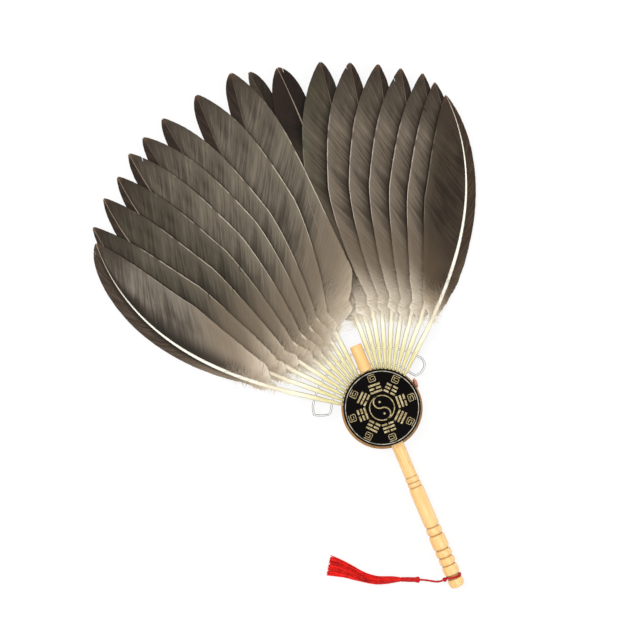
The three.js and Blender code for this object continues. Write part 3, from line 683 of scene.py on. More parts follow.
def barbRows(line, rows, chance):
    # For every barb: its place on the shaft, where it stands in its clump (-1 to 1), how far the clumps
    # open beside it and how the clump is turned; and between which rows the vane is split
    start = line["root"]
    spots = start + (line["length"] - vane["endsBefore"] - start) * np.arange(rows + 1) / rows
    edges = [start]
    while edges[-1] < line["length"]:
        edges.append(edges[-1] + chance.uniform(*vane["clumps"]))
    edges = np.array(edges)
    clump = np.clip(np.searchsorted(edges, spots, side="right") - 1, 0, len(edges) - 2)
    inClump = 2 * (spots - edges[clump]) / (edges[clump + 1] - edges[clump]) - 1
    gaps = np.where(chance.random(len(edges)) < vane["open"], chance.uniform(*vane["gap"], len(edges)), 0.0)
    opened = np.where(inClump < 0, gaps[clump], gaps[clump + 1])
    turned = chance.uniform(-1, 1, len(edges))[clump]
    split = (np.diff(clump) > 0) & (gaps[clump[1:]] > 0)
    return spots, inClump, opened, turned, split


farAway = 60.0  # stands for a distance that is never reached


def beyondEdge(over, places):
    # How far places lie beyond the wide edge of the feather that lies over them
    if over is None:
        return np.full(len(places), farAway)
    spine = np.stack([over["x"], over["y"]], axis=1)[::2]
    apart = np.linalg.norm(places[:, None, :2] - spine[None], axis=2)
    near = apart.argmin(axis=1)
    heading = over["heading"][::2][near]
    step = places[:, :2] - spine[near]
    inwards = over["side"] * (step[:, 1] * np.sin(heading) - step[:, 0] * np.cos(heading))
    beyond = inwards - vaneWidth(over, over["s"][::2], True)[near]
    return np.where(near == len(spine) - 1, apart.min(axis=1), beyond)


def vaneMesh(line, over, wide, chance):
    rows = vane["rows"] if wide else vane["rows"] * 3 // 4
    columns = vane["columns"] if wide else vane["columns"] // 2 + 1
    spots, inClump, opened, turned, split = barbRows(line, rows, chance)
    splitFrom = np.where(split, np.ceil(columns * chance.uniform(*vane["splitFrom"], rows)), columns + 1)
    mesh, across, along = gridMesh(columns, rows, drop=lambda column, row: column >= splitFrom[row])
    row = np.rint(along * rows).astype(int)
    t = across
    s0 = spots[row]
    fromRoot = s0 - line["root"]
    loose = 1 - smoothStep((fromRoot - vane["softFrom"]) / vane["rootLength"])
    angle = vane["wideAngle"] if wide else vane["narrowAngle"]
    angle = np.radians(angle + (vane["rootAngle"] - angle) * loose)
    ragged = chance.normal(0, 1, rows + 1)
    broad = np.convolve(ragged, np.ones(vane["broadRows"]), "same")
    tufts = (vane["broad"] * broad + vane["fine"] * ragged)[row]
    grown = np.sqrt(smoothStep((fromRoot + 0.4) / vane["fluffGrowth"]))
    fluff = (line["habit"].get("fluff", vane["fluff"][0]) if wide else vane["fluff"][1]) * loose
    reach = np.maximum(vaneWidth(line, s0, wide), fluff) * grown
    lead = np.minimum(reach / np.tan(angle), vane["shortOfTip"] * (line["length"] - s0))
    width = np.maximum(vaneWidth(line, s0 + lead, wide), fluff) * grown
    width += between(vane["edge"], loose) * tufts
    inner = vane["inShaft"] * np.interp(s0, line["s"], line["radius"])
    reach = np.maximum(width - inner, vane["leastReach"])
    pulled = -inClump[row] * opened[row] * t ** vane["pullPower"]
    s = np.minimum(s0 + lead * t ** vane["lean"] + pulled, line["length"])
    sign = 1 if wide else -1
    u = sign * (inner + reach * t)
    rolling = vane["rolling"] * np.sin(s0 / vane["waveLength"] + 7 * line["rank"]) * t**2
    wavy = vane["wave"] * (turned[row] * inClump[row] * t + rolling)
    rough, even = vane["puffs"]
    puffed = rough * np.abs(tufts) + even * np.sin(s0 / vane["puffLength"]) ** 2
    puffed *= loose * t * (1 - t)
    height = camber(u) + wavy + puffed + overQuill(s, u) - vane["droop"] * loose * t**4
    places = onFeather(line, s, u, height)
    setPlaces(mesh, places * mm)
    setUv(mesh, "vane", sign * t, fromRoot - line["habit"].get("pale", 0))
    setEdges(mesh, np.stack([line["length"] - s, reach * (1 - t), beyondEdge(over, places)], axis=1))
    if sign * line["side"] > 0:
        mesh.flip_normals()
    return mesh


def strandGrid(count, segments, sides):
    # Separate strands in one mesh, with every point's strand and its share of the way along and round it
    rows = count * (segments + 1) - 1
    mesh, around, along = gridMesh(sides, rows, drop=lambda column, row: row % (segments + 1) == segments)
    row = np.rint(along * rows).astype(int)
    return mesh, row // (segments + 1), (row % (segments + 1)) / segments, around


down = {
    "count": 480, "segments": 6, "width": 0.28, "length": (7.0, 16.0), "lifted": (0.1, 2.2),
    "before": 4.0, "along": 34.0, "inwards": 0.66, "angle": (25, 88), "curl": (-60, 75),
    "wideShare": (0.55, 1), "narrowShare": (0.4, 0.5),  # of the length, from the root to where all is grown
    "fromShaft": 0.5, "height": 0.25, "wobble": (0.5, 0.4),
}


def downMesh(line, chance):
    count = down["count"]
    mesh, strand, t, around = strandGrid(count, down["segments"], 1)
    fromRoot = np.sort((down["along"] + down["before"]) * chance.random(count) ** 1.4) - down["before"]
    side = np.where(chance.random(count) < down["inwards"], 1.0, -1.0)
    grown = smoothStep((fromRoot + 6) / 20)
    length = chance.uniform(*down["length"], count)
    length *= np.where(side > 0, between(down["wideShare"], grown), between(down["narrowShare"], grown))
    length *= line["habit"].get("down", 1)
    angle = np.radians(chance.uniform(*down["angle"], count) - 8 * grown)
    curl = np.radians(chance.uniform(*down["curl"], count))
    wobble = chance.uniform(0, 2 * np.pi, count)
    lifted = chance.uniform(*down["lifted"], count)
    a = angle[strand] - curl[strand] * t
    reach = length[strand] * t
    s = line["root"] + fromRoot[strand] + reach * np.cos(a)
    swing, sway = down["wobble"]
    s += swing * np.sin(3 * t * np.pi + wobble[strand]) * t
    u = down["fromShaft"] + reach * np.sin(a) + sway * np.cos(2.5 * np.pi * t + wobble[strand]) * t
    u *= side[strand]
    s += (around - 0.5) * down["width"] * (1.15 - t)
    height = down["height"] + camber(u) + overQuill(s, u) + lifted[strand] * np.sin(np.pi * t * 0.8)
    setPlaces(mesh, onFeather(line, s, u, height) * mm)
    setUv(mesh, "vane", side[strand] * t, fromRoot[strand] * 0.7 + 4 * t)
    setEdges(mesh, np.full((len(s), 3), farAway))
    return mesh


def joinMeshes(name, meshes):
    bm = bmesh.new()
    for mesh in meshes:
        bm.from_mesh(mesh)
    return meshOf(bm, name)


def shaftMesh(line):
    mesh, around, along = gridMesh(12, 90)
    s = plume["start"] + (line["length"] - plume["endsBefore"] - plume["start"]) * along
    angle = 2 * np.pi * around
    radius = np.interp(s, line["s"], line["radius"])
    radius *= np.sqrt(np.clip((line["length"] - s) / plume["rounded"], 0, 1))
    past = s - plume["quillFull"]
    flat = 1 - plume["flattened"] * smoothStep(past / 30)
    crest = plume["crest"] * smoothStep(past / 40) * np.maximum(0, np.sin(angle)) ** 3
    height = radius * (np.sin(angle) * flat + crest)
    setPlaces(mesh, onFeather(line, s, plume["slimmer"] * radius * np.cos(angle), height) * mm)
    setUv(mesh, "shaft", 3 * around, s)
    closeSeams(mesh)
    return mesh


def makeFeathers(vaneFinishes, shaftFinishes):
    lines = {}
    over = {}
    for wingName in wings:
        inner = None
        for number in range(9, 0, -1):
            line = featherLine(wingName, number, inner)
            lines[line["name"]] = line
            if inner:
                over[inner["name"]] = line
            inner = line
    for place, (name, line) in enumerate(sorted(lines.items())):
        chance = np.random.default_rng(100 + place)
        parts = [vaneMesh(line, over.get(name), wide, chance) for wide in (True, False)]
        parts.append(downMesh(line, chance))
        tone, shade = featherTones.get(name, featherTones[name.split("_")[1]])
        vanes = joinMeshes(name + "_vanes", parts)
        addPiece(name + "_vanes", vanes, vaneFinishes[tone], "fan", [name])
        addPiece(name + "_shaft", shaftMesh(line), shaftFinishes[shade], "fan", [name])
    return lines


# Turned pieces: a profile of (radius, place along the axis) is rounded at its corners and spun


def spunMesh(name, profile, rounding, segments, axis, sides):
    bm = bmesh.new()
    along = Vector(axis)
    out = Vector((0, 0, 1)) if abs(along.z) < 0.5 else Vector((1, 0, 0))
    verts = [bm.verts.new((out * radius + along * place) * mm) for radius, place in profile]
    for first, second in zip(verts, verts[1:]):
        bm.edges.new((first, second))
    corners = [vert for vert in bm.verts if len(vert.link_edges) == 2]
    bmesh.ops.bevel(bm, geom=corners, offset=rounding * mm, segments=segments, profile=0.5,
                    affect="VERTICES", material=-1, clamp_overlap=True)
    bmesh.ops.spin(bm, geom=bm.verts[:] + bm.edges[:], cent=(0, 0, 0), axis=along, angle=2 * math.pi,
                   steps=sides, use_merge=True)
    bmesh.ops.remove_doubles(bm, verts=bm.verts, dist=1e-6)
    bmesh.ops.recalc_face_normals(bm, faces=bm.faces)
    return meshOf(bm, name)


stick = {
    "top": 51.6, "topRadius": 4.65, "radius": 4.9, "radiusAt": 31.4, "collar": -58.0, "notch": 4.6,
    "turnings": [  # length and radius of each, from the collar down
        (4.5, 5.4), (4, 5.45), (33.3, 5.85), (6.6, 6.1), (12.2, 6.4), (6.4, 6.35), (6.5, 6.25), (8.3, 6.2),
    ],
    "bead": [  # distance from a notch, and share of the way out
        (0.1, 0.12), (0.5, 0.45), (1.1, 0.74), (1.9, 0.93),
    ],
    "belly": 0.55,  # where a turning is thickest, as a share of its length
    "groove": (2.8, 4.45), "knob": (7.2, 6.0), "flat": 6.4, "flatTop": 30.5, "flatBottom": -32.9,
    "topEdge": (0.4, 0.6), "round": 0.12,
    "end": [  # share of the knob's length, and how far inside its radius
        (0.05, 0.45), (0.16, 0.12), (0.38, 0), (0.62, 0.1), (0.8, 0.42), (0.92, 0.95), (1, 1.9),
    ],
}


def makeStick(finish):
    top, topRadius, y = stick["top"], stick["topRadius"], stick["collar"]
    inset, lower = stick["topEdge"]
    notches = [y]
    profile = [
        (0, top), (topRadius - inset, top), (topRadius, top - lower), (stick["radius"], stick["radiusAt"]),
        (stick["radius"], y + 0.5), (stick["notch"], y),
    ]
    for length, radius in stick["turnings"]:
        rise = radius - stick["notch"]
        for distance, share in stick["bead"]:
            profile.append((stick["notch"] + rise * share, y - distance))
        profile.append((radius, y - length * stick["belly"]))
        y -= length
        for distance, share in reversed(stick["bead"]):
            profile.append((stick["notch"] + rise * share, y + distance))
        profile.append((stick["notch"], y))
        notches.append(y)
    groove, grooveRadius = stick["groove"]
    profile.append((grooveRadius, y - 0.2))
    y -= groove
    notches.append(y)
    profile.append((grooveRadius, y))
    length, radius = stick["knob"]
    for share, inset in stick["end"]:
        profile.append((radius - inset, y - length * share))
    profile.append((0, y - length))
    mesh = spunMesh("stick", profile, stick["round"], 2, (0, 1, 0), 72)
    mesh.transform(Matrix.Translation((0, 0, quillPlane * mm)))
    piece = addPiece("stick_turned", mesh, finish, "fan", ["handle"])
    middle = (stick["flatTop"] + stick["flatBottom"]) / 2
    length = stick["flatTop"] - stick["flatBottom"]
    cut = 10
    for side in (1, -1):
        height = quillPlane + side * (stick["flat"] + cut) / 2
        cutAway(piece, boxMesh("flat", (0, middle, height), (2 * cut, length, cut)))
    shadeByAngle(piece, 40)
    y = placesOf(piece.data)[:, 1:2] / mm
    fromNotch = np.abs(y - np.array(notches)[None]).min(axis=1)
    notched = piece.data.attributes.new("fromNotch", "FLOAT", "POINT")
    notched.data.foreach_set("value", fromNotch.astype(np.float32))


def boxMesh(name, middle, size):
    bm = bmesh.new()
    bmesh.ops.create_cube(bm, size=1)
    bmesh.ops.scale(bm, vec=Vector(size) * mm, verts=bm.verts)
    bmesh.ops.translate(bm, vec=Vector(middle) * mm, verts=bm.verts)
    return meshOf(bm, name)


def cutAway(piece, toolMesh):
    tool = placed("tool", toolMesh)
    cutter = piece.modifiers.new("cut", "BOOLEAN")
    cutter.operation = "DIFFERENCE"
    cutter.solver = "EXACT"
    cutter.object = tool
    bpy.context.view_layer.update()
    result = bpy.data.meshes.new_from_object(piece.evaluated_get(bpy.context.evaluated_depsgraph_get()))
    piece.modifiers.remove(cutter)
    piece.data = result
    bpy.data.objects.remove(tool)


def shadeByAngle(piece, degrees):
    mesh = piece.data
    bm = bmesh.new()
    bm.from_mesh(mesh)
    for edge in bm.edges:
        edge.smooth = len(edge.link_faces) == 2 and edge.calc_face_angle(0) < math.radians(degrees)
    for face in bm.faces:
        face.smooth = True
    bm.to_mesh(mesh)
    bm.free()


disc = {
    "front": 29.7, "back": 31.4, "shift": 1.2, "thick": 5.2, "frontBottom": 8.375, "round": 1.1,
    "channel": (10.4, 7.0),
}


def discMesh(name, radius, low, rounding):
    high = low + disc["thick"]
    profile = [(0, low), (radius, low), (radius, high), (0, high)]
    return spunMesh(name, profile, rounding, 5, (0, 0, 1), 128)


def makeDiscs(lacquer, tan):
    mesh = discMesh("front", disc["front"], disc["frontBottom"], disc["round"])
    front = addPiece("front_disc_lacquered", mesh, lacquer, "fan", ["front_disc"])
    mesh = discMesh("back", disc["back"], 0, disc["round"] * 0.8)
    mesh.transform(Matrix.Translation((0, -disc["shift"] * mm, 0)))
    back = addPiece("back_disc_tan", mesh, tan, "fan", ["back_disc"])
    width, height = disc["channel"]
    for piece in (front, back):
        cutAway(piece, boxMesh("channel", (0, 0, quillPlane), (width, 120, height)))
        shadeByAngle(piece, 35)


# Gilt signs on the front disc: the turning circle, eight trigrams, fret marks and the ring near the rim

discTop = disc["frontBottom"] + disc["thick"]
signs = {
    "height": 0.16, "sink": 0.1, "circle": 9.5, "line": 0.75, "swirl": 0.9375, "dot": 0.95,
    "dotTop": 0.85, "ring": 28.0, "ringWidth": 0.55,
    "trigramAt": 15.7, "bar": (9.3, 1.45), "pitch": 2.75, "gap": 1.3, "firstAngle": 3.5,
    # each from the inside out; 1 is a whole bar
    "trigrams": ["101", "000", "110", "111", "010", "001", "100", "011"],
    "fretAt": 23.9, "fret": 5.1, "fretLine": 0.5,
    "fretBars": [  # as shares of the mark's size: x, y, width, depth
        (0, 0.5, 1, 0), (-0.5, 0, 0, 1), (0, -0.5, 1, 0), (0.5, -0.14, 0, 0.72),
        (0.1, 0.22, 0.8, 0), (-0.22, 0, 0, 0.44), (0.02, -0.2, 0.48, 0),
    ],
}


def plate(bm, x, y, width, depth, turn):
    # A small raised bar at x, y on the disc, turned clockwise by an angle
    made = bmesh.ops.create_cube(bm, size=1)["verts"]
    tall = signs["height"] + signs["sink"]
    low = discTop - signs["sink"]
    bmesh.ops.scale(bm, vec=Vector((width, depth, tall)) * mm, verts=made)
    bmesh.ops.translate(bm, vec=Vector((x, y, low + tall / 2)) * mm, verts=made)
    bmesh.ops.rotate(bm, cent=(0, 0, 0), matrix=Matrix.Rotation(-turn, 3, "Z"), verts=made)


def band(bm, y, radius, width, sweep, steps):
    # A raised band along an arc round (0, y), counted clockwise from +Y
    low = discTop - signs["sink"]
    tall = signs["height"] + signs["sink"]
    centre = Vector((0, y, 0)) * mm
    corners = []
    for side, height in ((-0.5, 0), (0.5, 0), (0.5, tall), (-0.5, tall)):
        corners.append(bm.verts.new(centre + Vector((0, radius + side * width, low + height)) * mm))
    face = bm.faces.new(corners)
    whole = abs(sweep) > 2 * math.pi - 0.001
    geom = [face] + list(face.edges) + corners
    if whole:
        bm.faces.remove(face)
        geom = list({edge for corner in corners for edge in corner.link_edges}) + corners
    bmesh.ops.spin(bm, geom=geom, cent=centre, axis=(0, 0, -1), angle=sweep, steps=steps, use_merge=whole)


def makeSigns(finish):
    bm = bmesh.new()
    radius = signs["circle"]
    half = radius / 2
    band(bm, 0, radius, signs["line"], 2 * math.pi, 96)
    band(bm, 0, signs["ring"], signs["ringWidth"], 2 * math.pi, 160)
    band(bm, half, half, signs["swirl"], -math.pi, 32)
    band(bm, -half, half, signs["swirl"], math.pi, 32)
    dot = signs["dot"] * mm
    dotTop = dot * signs["dotTop"]
    for y in (half, -half):
        made = bmesh.ops.create_cone(bm, cap_ends=True, segments=24, radius1=dot, radius2=dotTop,
                                     depth=2 * signs["height"] * mm)["verts"]
        bmesh.ops.translate(bm, vec=Vector((0, y, discTop)) * mm, verts=made)
    length, thick = signs["bar"]
    for place, trigram in enumerate(signs["trigrams"]):
        turn = math.radians(signs["firstAngle"] + 45 * place)
        for row, kind in enumerate(trigram):
            y = signs["trigramAt"] + (row - 1) * signs["pitch"]
            if kind == "1":
                plate(bm, 0, y, length, thick, turn)
            else:
                short = (length - signs["gap"]) / 2
                for side in (-1, 1):
                    plate(bm, side * (length - short) / 2, y, short, thick, turn)
        size, line = signs["fret"], signs["fretLine"]
        for x, y, width, depth in signs["fretBars"]:
            plate(bm, x * size, signs["fretAt"] + y * size, width * size + line, depth * size + line, turn)
    bmesh.ops.recalc_face_normals(bm, faces=bm.faces)
    addPiece("gilt_signs", meshOf(bm, "signs"), finish, "fan", smooth=False)


# Screws from behind

screw = {
    "at": (15, -15), "head": 2.5, "headHeight": 1.5, "shank": 1.0, "sink": 0.3, "end": 12.375,
    "slot": (0.6, 0.7), "slotLength": 0.7,  # the length as a share of the head
}


def makeScrews(finish):
    for place, y in enumerate(screw["at"]):
        neck = screw["sink"] + screw["headHeight"]
        profile = [
            (0, screw["sink"]), (screw["head"], screw["sink"]), (screw["shank"], neck),
            (screw["shank"], screw["end"] - 1), (0.15, screw["end"]), (0, screw["end"]),
        ]
        mesh = spunMesh("screw", profile, 0.12, 2, (0, 0, 1), 40)
        mesh.transform(Matrix.Translation((0, y * mm, 0)))
        name = f"hub_screw_{place + 1}"
        piece = addPiece(name + "_slotted", mesh, finish, "fan", [name])
        width, depth = screw["slot"]
        length = 2 * screw["head"] * screw["slotLength"]
        for size in ((width, length, depth), (length, width, depth)):
            cutAway(piece, boxMesh("slot", (0, y, screw["sink"]), size))
        shadeByAngle(piece, 30)


# The clear line through the quills, with a loop outside each wing, and its knot

spread = {
    "radius": 0.8, "outer": (-2.4, -9.2, 55.3), "inner": (-2.2, -3.6, 38.2), "lead": 2.5,
    "loops": {
        "left": [(0, 0.4), (0.1, 0.86), (0.24, 1), (0.8, 0.86), (0.98, 0.66), (1.01, 0.36)],
        "right": [(-0.01, 0.4), (0.2, 0.9), (0.62, 1), (0.97, 0.74), (1.02, 0.36)],
    },
    "reach": {"left": 10.6, "right": 8.8},
}
knot = {
    "length": 8.4, "width": 3.4, "height": 4.0, "inset": 0.8, "gap": 0.3,
    "turns": 3.5, "cord": 0.68, "end": 0.7,
    "wound": 0.62, "core": (0.46, 0.44, 0.44),  # the winding's and the core's share of the size
}


def arcPlace(arc, angle):
    x, y, radius = arc
    return np.array([x + radius * math.sin(angle), y + radius * math.cos(angle), quillPlane])


def crossingAngle(line, arc):
    # Angle on the arc where a feather's quill, straight up to there, crosses it
    x, y, radius = arc
    straight = line["s"] < plume["bendStart"] + 8
    acrossX, acrossY = line["x"] - x, line["y"] - y
    gone = np.hypot(acrossX, acrossY) - radius
    where = np.interp(0, gone[straight], line["s"][straight])
    return math.atan2(np.interp(where, line["s"], acrossX), np.interp(where, line["s"], acrossY))


def makeLine(lines, finish, sealed):
    ends = {}
    loops = {}
    for wingName, wing in wings.items():
        lead = wing["side"] * math.radians(spread["lead"])
        outermost = lines[f"feather_{wingName}_1"]
        outer = crossingAngle(outermost, spread["outer"]) + lead
        inner = crossingAngle(outermost, spread["inner"]) + lead
        ends[wingName] = (outer, inner)
        start = arcPlace(spread["outer"], outer)
        step = arcPlace(spread["inner"], inner) - start
        out = wing["side"] * np.array([-step[1], step[0], 0])
        out *= spread["reach"][wingName] / np.linalg.norm(out)
        loops[wingName] = [start + share * step + reach * out for share, reach in spread["loops"][wingName]]
    count = 23
    points = [arcPlace(spread["outer"], a) for a in np.linspace(ends["right"][0], ends["left"][0], count)]
    points += loops["left"]
    points += [arcPlace(spread["inner"], a) for a in np.linspace(ends["left"][1], ends["right"][1], count)]
    points += loops["right"][::-1]
    places, _ = smoothLine(points, 420, closed=True)
    mesh, _, _ = tubeMesh(places, lambda angle, share: np.full(len(angle), spread["radius"]), 10,
                          squareTo(places, closed=True))
    closeSeams(mesh)
    addPiece("spread_line_clear", mesh, finish, "fan", ["spread_line"])
    lowest = min(point[1] for point in loops["right"])
    y = lowest - spread["radius"] - knot["gap"] - knot["length"] / 2
    reach = disc["back"] + knot["width"] / 2 - knot["inset"]
    x = math.sqrt(reach**2 - (y + disc["shift"]) ** 2)
    makeKnot((x, y, quillPlane), sealed)


def makeKnot(middle, finish):
    # Turns of the line drawn tight and sealed with glue, with a stub at the lower end
    t = np.linspace(0, 1, 150)
    body = knot["wound"] * np.sin(np.pi * np.clip(t * 1.15, 0, 1)) ** 0.5
    angle = 2 * np.pi * knot["turns"] * t
    path = np.stack([
        middle[0] + body * np.cos(angle) * knot["width"] / 2,
        middle[1] + (0.5 - t) * (knot["length"] - 2 * knot["end"]),
        middle[2] + body * np.sin(angle) * knot["height"] / 2,
    ], axis=1)
    wound, _, _ = tubeMesh(path, lambda a, share: knot["cord"] * (1 - 0.5 * share**6) + 0 * a, 12)
    closeSeams(wound)
    size = np.array([knot["width"], knot["length"], knot["height"]]) * knot["core"]
    core, _, _ = ballMesh(middle, size, 20, 16, lumps=1)
    closeSeams(core, 1e-7)
    addPiece("line_knot_sealed", joinMeshes("knot", [wound, core]), finish, "fan",
             ["line_knot"])


# Tassel: ring and tie knot, bound head, and the threads of the skirt

ring = {
    "at": -141.2, "radius": 5.55, "cord": 0.78, "slant": 0.45, "plies": 9, "lobe": 0.2,
    "knot": 1.5, "knotOut": 1.9, "tied": 1.28, "tiedCord": 0.55, "tiedTurns": 2.5,
}


def makeRing(finish):
    turn = np.linspace(0, 2 * np.pi, 121)
    centre = np.array([0, ring["at"], quillPlane])
    path = np.stack([-np.cos(turn), 0 * turn, np.sin(turn)], axis=1) * ring["radius"] + centre
    path[:, 1] += ring["slant"] * np.cos(turn)

    def ply(angle, share):
        groove = 1 - np.abs(np.cos(angle - np.pi * ring["plies"] * share))
        return ring["cord"] * (1 - ring["lobe"] * groove**2)

    out = (path - centre) * (1, 0, 1)
    along = np.broadcast_to((0.0, 1.0, 0.0), out.shape)
    mesh, around, share = tubeMesh(path, ply, 12, (unit(out), along))
    setUv(mesh, "cord", around, share * 35)
    closeSeams(mesh)
    knotAt = centre - (ring["radius"] + ring["knotOut"], 0, 0)
    wind = np.linspace(0, 2 * np.pi * ring["tiedTurns"], 110)
    tilt = 0.4 * wind
    lobes = np.stack([np.cos(wind), np.sin(wind) * np.cos(tilt), np.sin(wind) * np.sin(tilt)], axis=1)
    lobes = knotAt + lobes * ring["tied"]
    tied, around, share = tubeMesh(lobes, lambda angle, share: ring["tiedCord"] + 0 * share, 12)
    setUv(tied, "cord", around, share * 12)
    closeSeams(tied)
    core, around, share = ballMesh(knotAt, ring["knot"], 20, 12)
    setUv(core, "cord", around, share * 6)
    closeSeams(core, 1e-7)
    addPiece("tassel_ring_tied", joinMeshes("ring", [mesh, tied, core]), finish, "ring",
             ["tassel_ring"])


tassel = {
    "past": 1.2,  # how far the head's lower end lies past the cord's
    "head": 2.7, "neck": 1.9, "headLength": 14.4, "flare": 4.4, "inset": 0.14, "flutes": 14, "fluted": 0.1,
    "bound": (5.2, 10.5), "winding": 0.62, "wound": 0.07, "bulgeAt": 7.8, "bulge": 0.075, "mouth": 0.32,
    "threads": 300, "thread": 0.3, "segments": 14, "skirt": 57.4, "heading": 146.2, "inHead": 2.2,
    "endWidth": 18.6, "thickness": 4.8, "lift": 0.15, "settle": 0.5, "gap": 0.3, "floor": 0.06,
    "bundles": 3.2,  # per half width
    "sections": [  # shares: of the length, how far aside, of the width and of the thickness
        (0, 0, 0.204, 0.79), (0.083, 0.016, 0.301, 0.958), (0.183, 0.042, 0.355, 1),
        (0.325, 0.071, 0.398, 1), (0.513, 0.063, 0.473, 0.958), (0.733, 0.02, 0.645, 0.833),
        (0.885, 0.003, 0.839, 0.708), (1, 0, 1, 0.625),
    ],
}


def cordEnd():
    end = np.array(tasselCord["route"][-1], dtype=float)
    ahead = end - np.array(tasselCord["route"][-2])
    return end, ahead / np.linalg.norm(ahead)


def makeHead(finish):
    # A fluted mouth on the cord's side, then the neck with its binding; reach is in mm from the mouth
    end, ahead = cordEnd()
    aside = np.cross(ahead, (0, 0, 1))
    start = end + ahead * (tassel["past"] - tassel["headLength"])
    mesh, around, along = gridMesh(48, 90)
    angle = 2 * np.pi * around
    reach = along * tassel["headLength"]
    flare = smoothStep(reach / tassel["flare"])
    first, last = tassel["bound"]
    windings = tassel["wound"] * np.abs(np.sin(np.pi * (reach - first) / tassel["winding"]))
    windings *= smoothStep((reach - first) / 0.3) * (1 - smoothStep((reach - last) / 0.4))
    flutes = tassel["fluted"] * np.cos(tassel["flutes"] * angle) * (1 - 0.7 * smoothStep((reach - 3) / 3))
    bulge = tassel["bulge"] * np.exp(-(((reach - tassel["bulgeAt"]) / 2.4) ** 2))
    radius = tassel["head"] * (1 - flare) + tassel["neck"] * flare - tassel["inset"]
    radius += windings + flutes + bulge
    opened = np.clip(reach / 1.7, 0, 1)
    radius *= tassel["mouth"] + (1 - tassel["mouth"]) * np.sqrt(opened * (2 - opened))
    radius[along == 1] = 0
    out = np.cos(angle)[:, None] * aside + np.sin(angle)[:, None] * np.array([0, 0, 1.0])
    uneven = 0.21 * np.sin(5 * angle + 1) * (1 - smoothStep(reach / 1.5))
    axial = np.maximum(reach + uneven * (along > 0), 0)
    setPlaces(mesh, (start + axial[:, None] * ahead + out * radius[:, None]) * mm)
    setUv(mesh, "cord", around * 9, reach)
    closeSeams(mesh, 1e-7)
    return addPiece("tassel_head_bound", mesh, finish, "tassel", ["tassel_head"])


def makeSkirt(finish):
    # A flat bundle along its sections; its threads fan out from the neck and draw together in bundles
    end, ahead = cordEnd()
    start = end + ahead * (tassel["past"] + tassel["gap"])
    turn = math.radians(tassel["heading"])
    long = np.array([math.cos(turn), math.sin(turn), 0]) * tassel["skirt"]
    aside = np.array([-long[1], long[0], 0])
    sections = np.array(tassel["sections"])
    middle = start * (1, 1, 0) + sections[:, :1] * long + sections[:, 1:2] * aside
    halfWidth = sections[:, 2] * tassel["endWidth"] / 2
    halfThick = sections[:, 3] * tassel["thickness"] / 2
    settled = np.minimum(1, sections[:, 0] / tassel["settle"])
    middle[:, 2] = start[2] * (1 - settled) + (tassel["lift"] + halfThick) * settled
    middle = np.vstack([start - ahead * tassel["inHead"], middle])
    halves = (np.concatenate([[tassel["neck"] * 0.7], half]) for half in (halfWidth, halfThick))
    halfWidth, halfThick = (half - tassel["thread"] for half in halves)
    sectionShare = np.concatenate([[0], np.cumsum(np.linalg.norm(np.diff(middle, axis=0), axis=1))])
    sectionShare /= sectionShare[-1]
    dense, _ = smoothLine(middle, 60)
    share = np.linspace(0, 1, len(dense))
    tangent = np.gradient(dense, axis=0)
    sideways = unit(np.stack([-tangent[:, 1], tangent[:, 0], 0 * tangent[:, 0]], axis=1))
    chance = np.random.default_rng(7)
    count = tassel["threads"]
    mesh, strand, t, around = strandGrid(count, tassel["segments"], 3)
    spin = chance.uniform(0, 2 * np.pi, count)
    size = np.sqrt(chance.uniform(0.05, 1, count)) * 0.9
    own = np.cos(spin) * size
    bundle = np.round(own * tassel["bundles"]) / tassel["bundles"]
    reach = chance.uniform(0.95, 0.995, count)
    bow = chance.normal(0, 0.05, count)
    place = t * reach[strand]
    pull = 0.35 * np.sin(np.pi * place) + 0.15 * place
    across = own[strand] * (1 - pull) + bundle[strand] * pull + bow[strand] * np.sin(2 * np.pi * place)
    across = np.clip(across, -0.97, 0.97)
    above = (np.sin(spin) * size)[strand] + 0.04 * np.sin(9 * place + spin[strand])
    above *= np.sqrt(1 - across**2) * np.interp(place, sectionShare, halfThick)
    across *= np.interp(place, sectionShare, halfWidth)
    centre, side = (np.stack([np.interp(place, share, values) for values in line.T], axis=1)
                    for line in (dense, sideways))
    angle = 2 * np.pi * around
    places = centre + side * (across + np.cos(angle) * tassel["thread"])[:, None]
    places[:, 2] = np.maximum(places[:, 2] + above + np.sin(angle) * tassel["thread"], tassel["floor"])
    setPlaces(mesh, places * mm)
    setUv(mesh, "cord", strand * 1.7, t * 20)
    closeSeams(mesh, 1e-7)
    return addPiece("tassel_skirt_threads", mesh, finish, "tassel", ["tassel_skirt"])


# Floor, world and lamps

studio = {
    "world": 0.75, "worldAbove": 0.04, "overhead": (0.6, 0.95),
    "key": 30.0, "keyAt": (-0.75, 0.6, 1.75), "keySize": 1.4,
    "fill": 11.0, "fillAt": (0.9, -0.6, 1.4), "fillSize": 1.2,
    "below": 0.2,  # of the floor, in mm
    "glow": 0.86,  # of the floor, where it shows as surroundings
    # the rays that show the surroundings white
    "seenBy": ("Is Camera Ray", "Is Glossy Ray", "Is Transmission Ray"),
}


def makeFloor():
    bm = bmesh.new()
    bmesh.ops.create_grid(bm, x_segments=1, y_segments=1, size=3)
    bmesh.ops.translate(bm, vec=(0, 0, -studio["below"] * mm), verts=bm.verts)
    floor = placed("floor", meshOf(bm, "floor"))
    finish = Finish("floor_white")
    finish.set({"Roughness": 0.9, "Specular IOR Level": 0.1})
    plain = Signal(finish, finish.shader.outputs[0])
    glow = finish.node("Emission", {"Color": (1, 1, 1, 1), "Strength": 1.0})
    shown = finish.showSurroundings(plain, glow, studio["glow"])
    finish.feed(finish.tree.nodes["Material Output"].inputs[0], shown)
    floor.data.materials.append(finish.material)


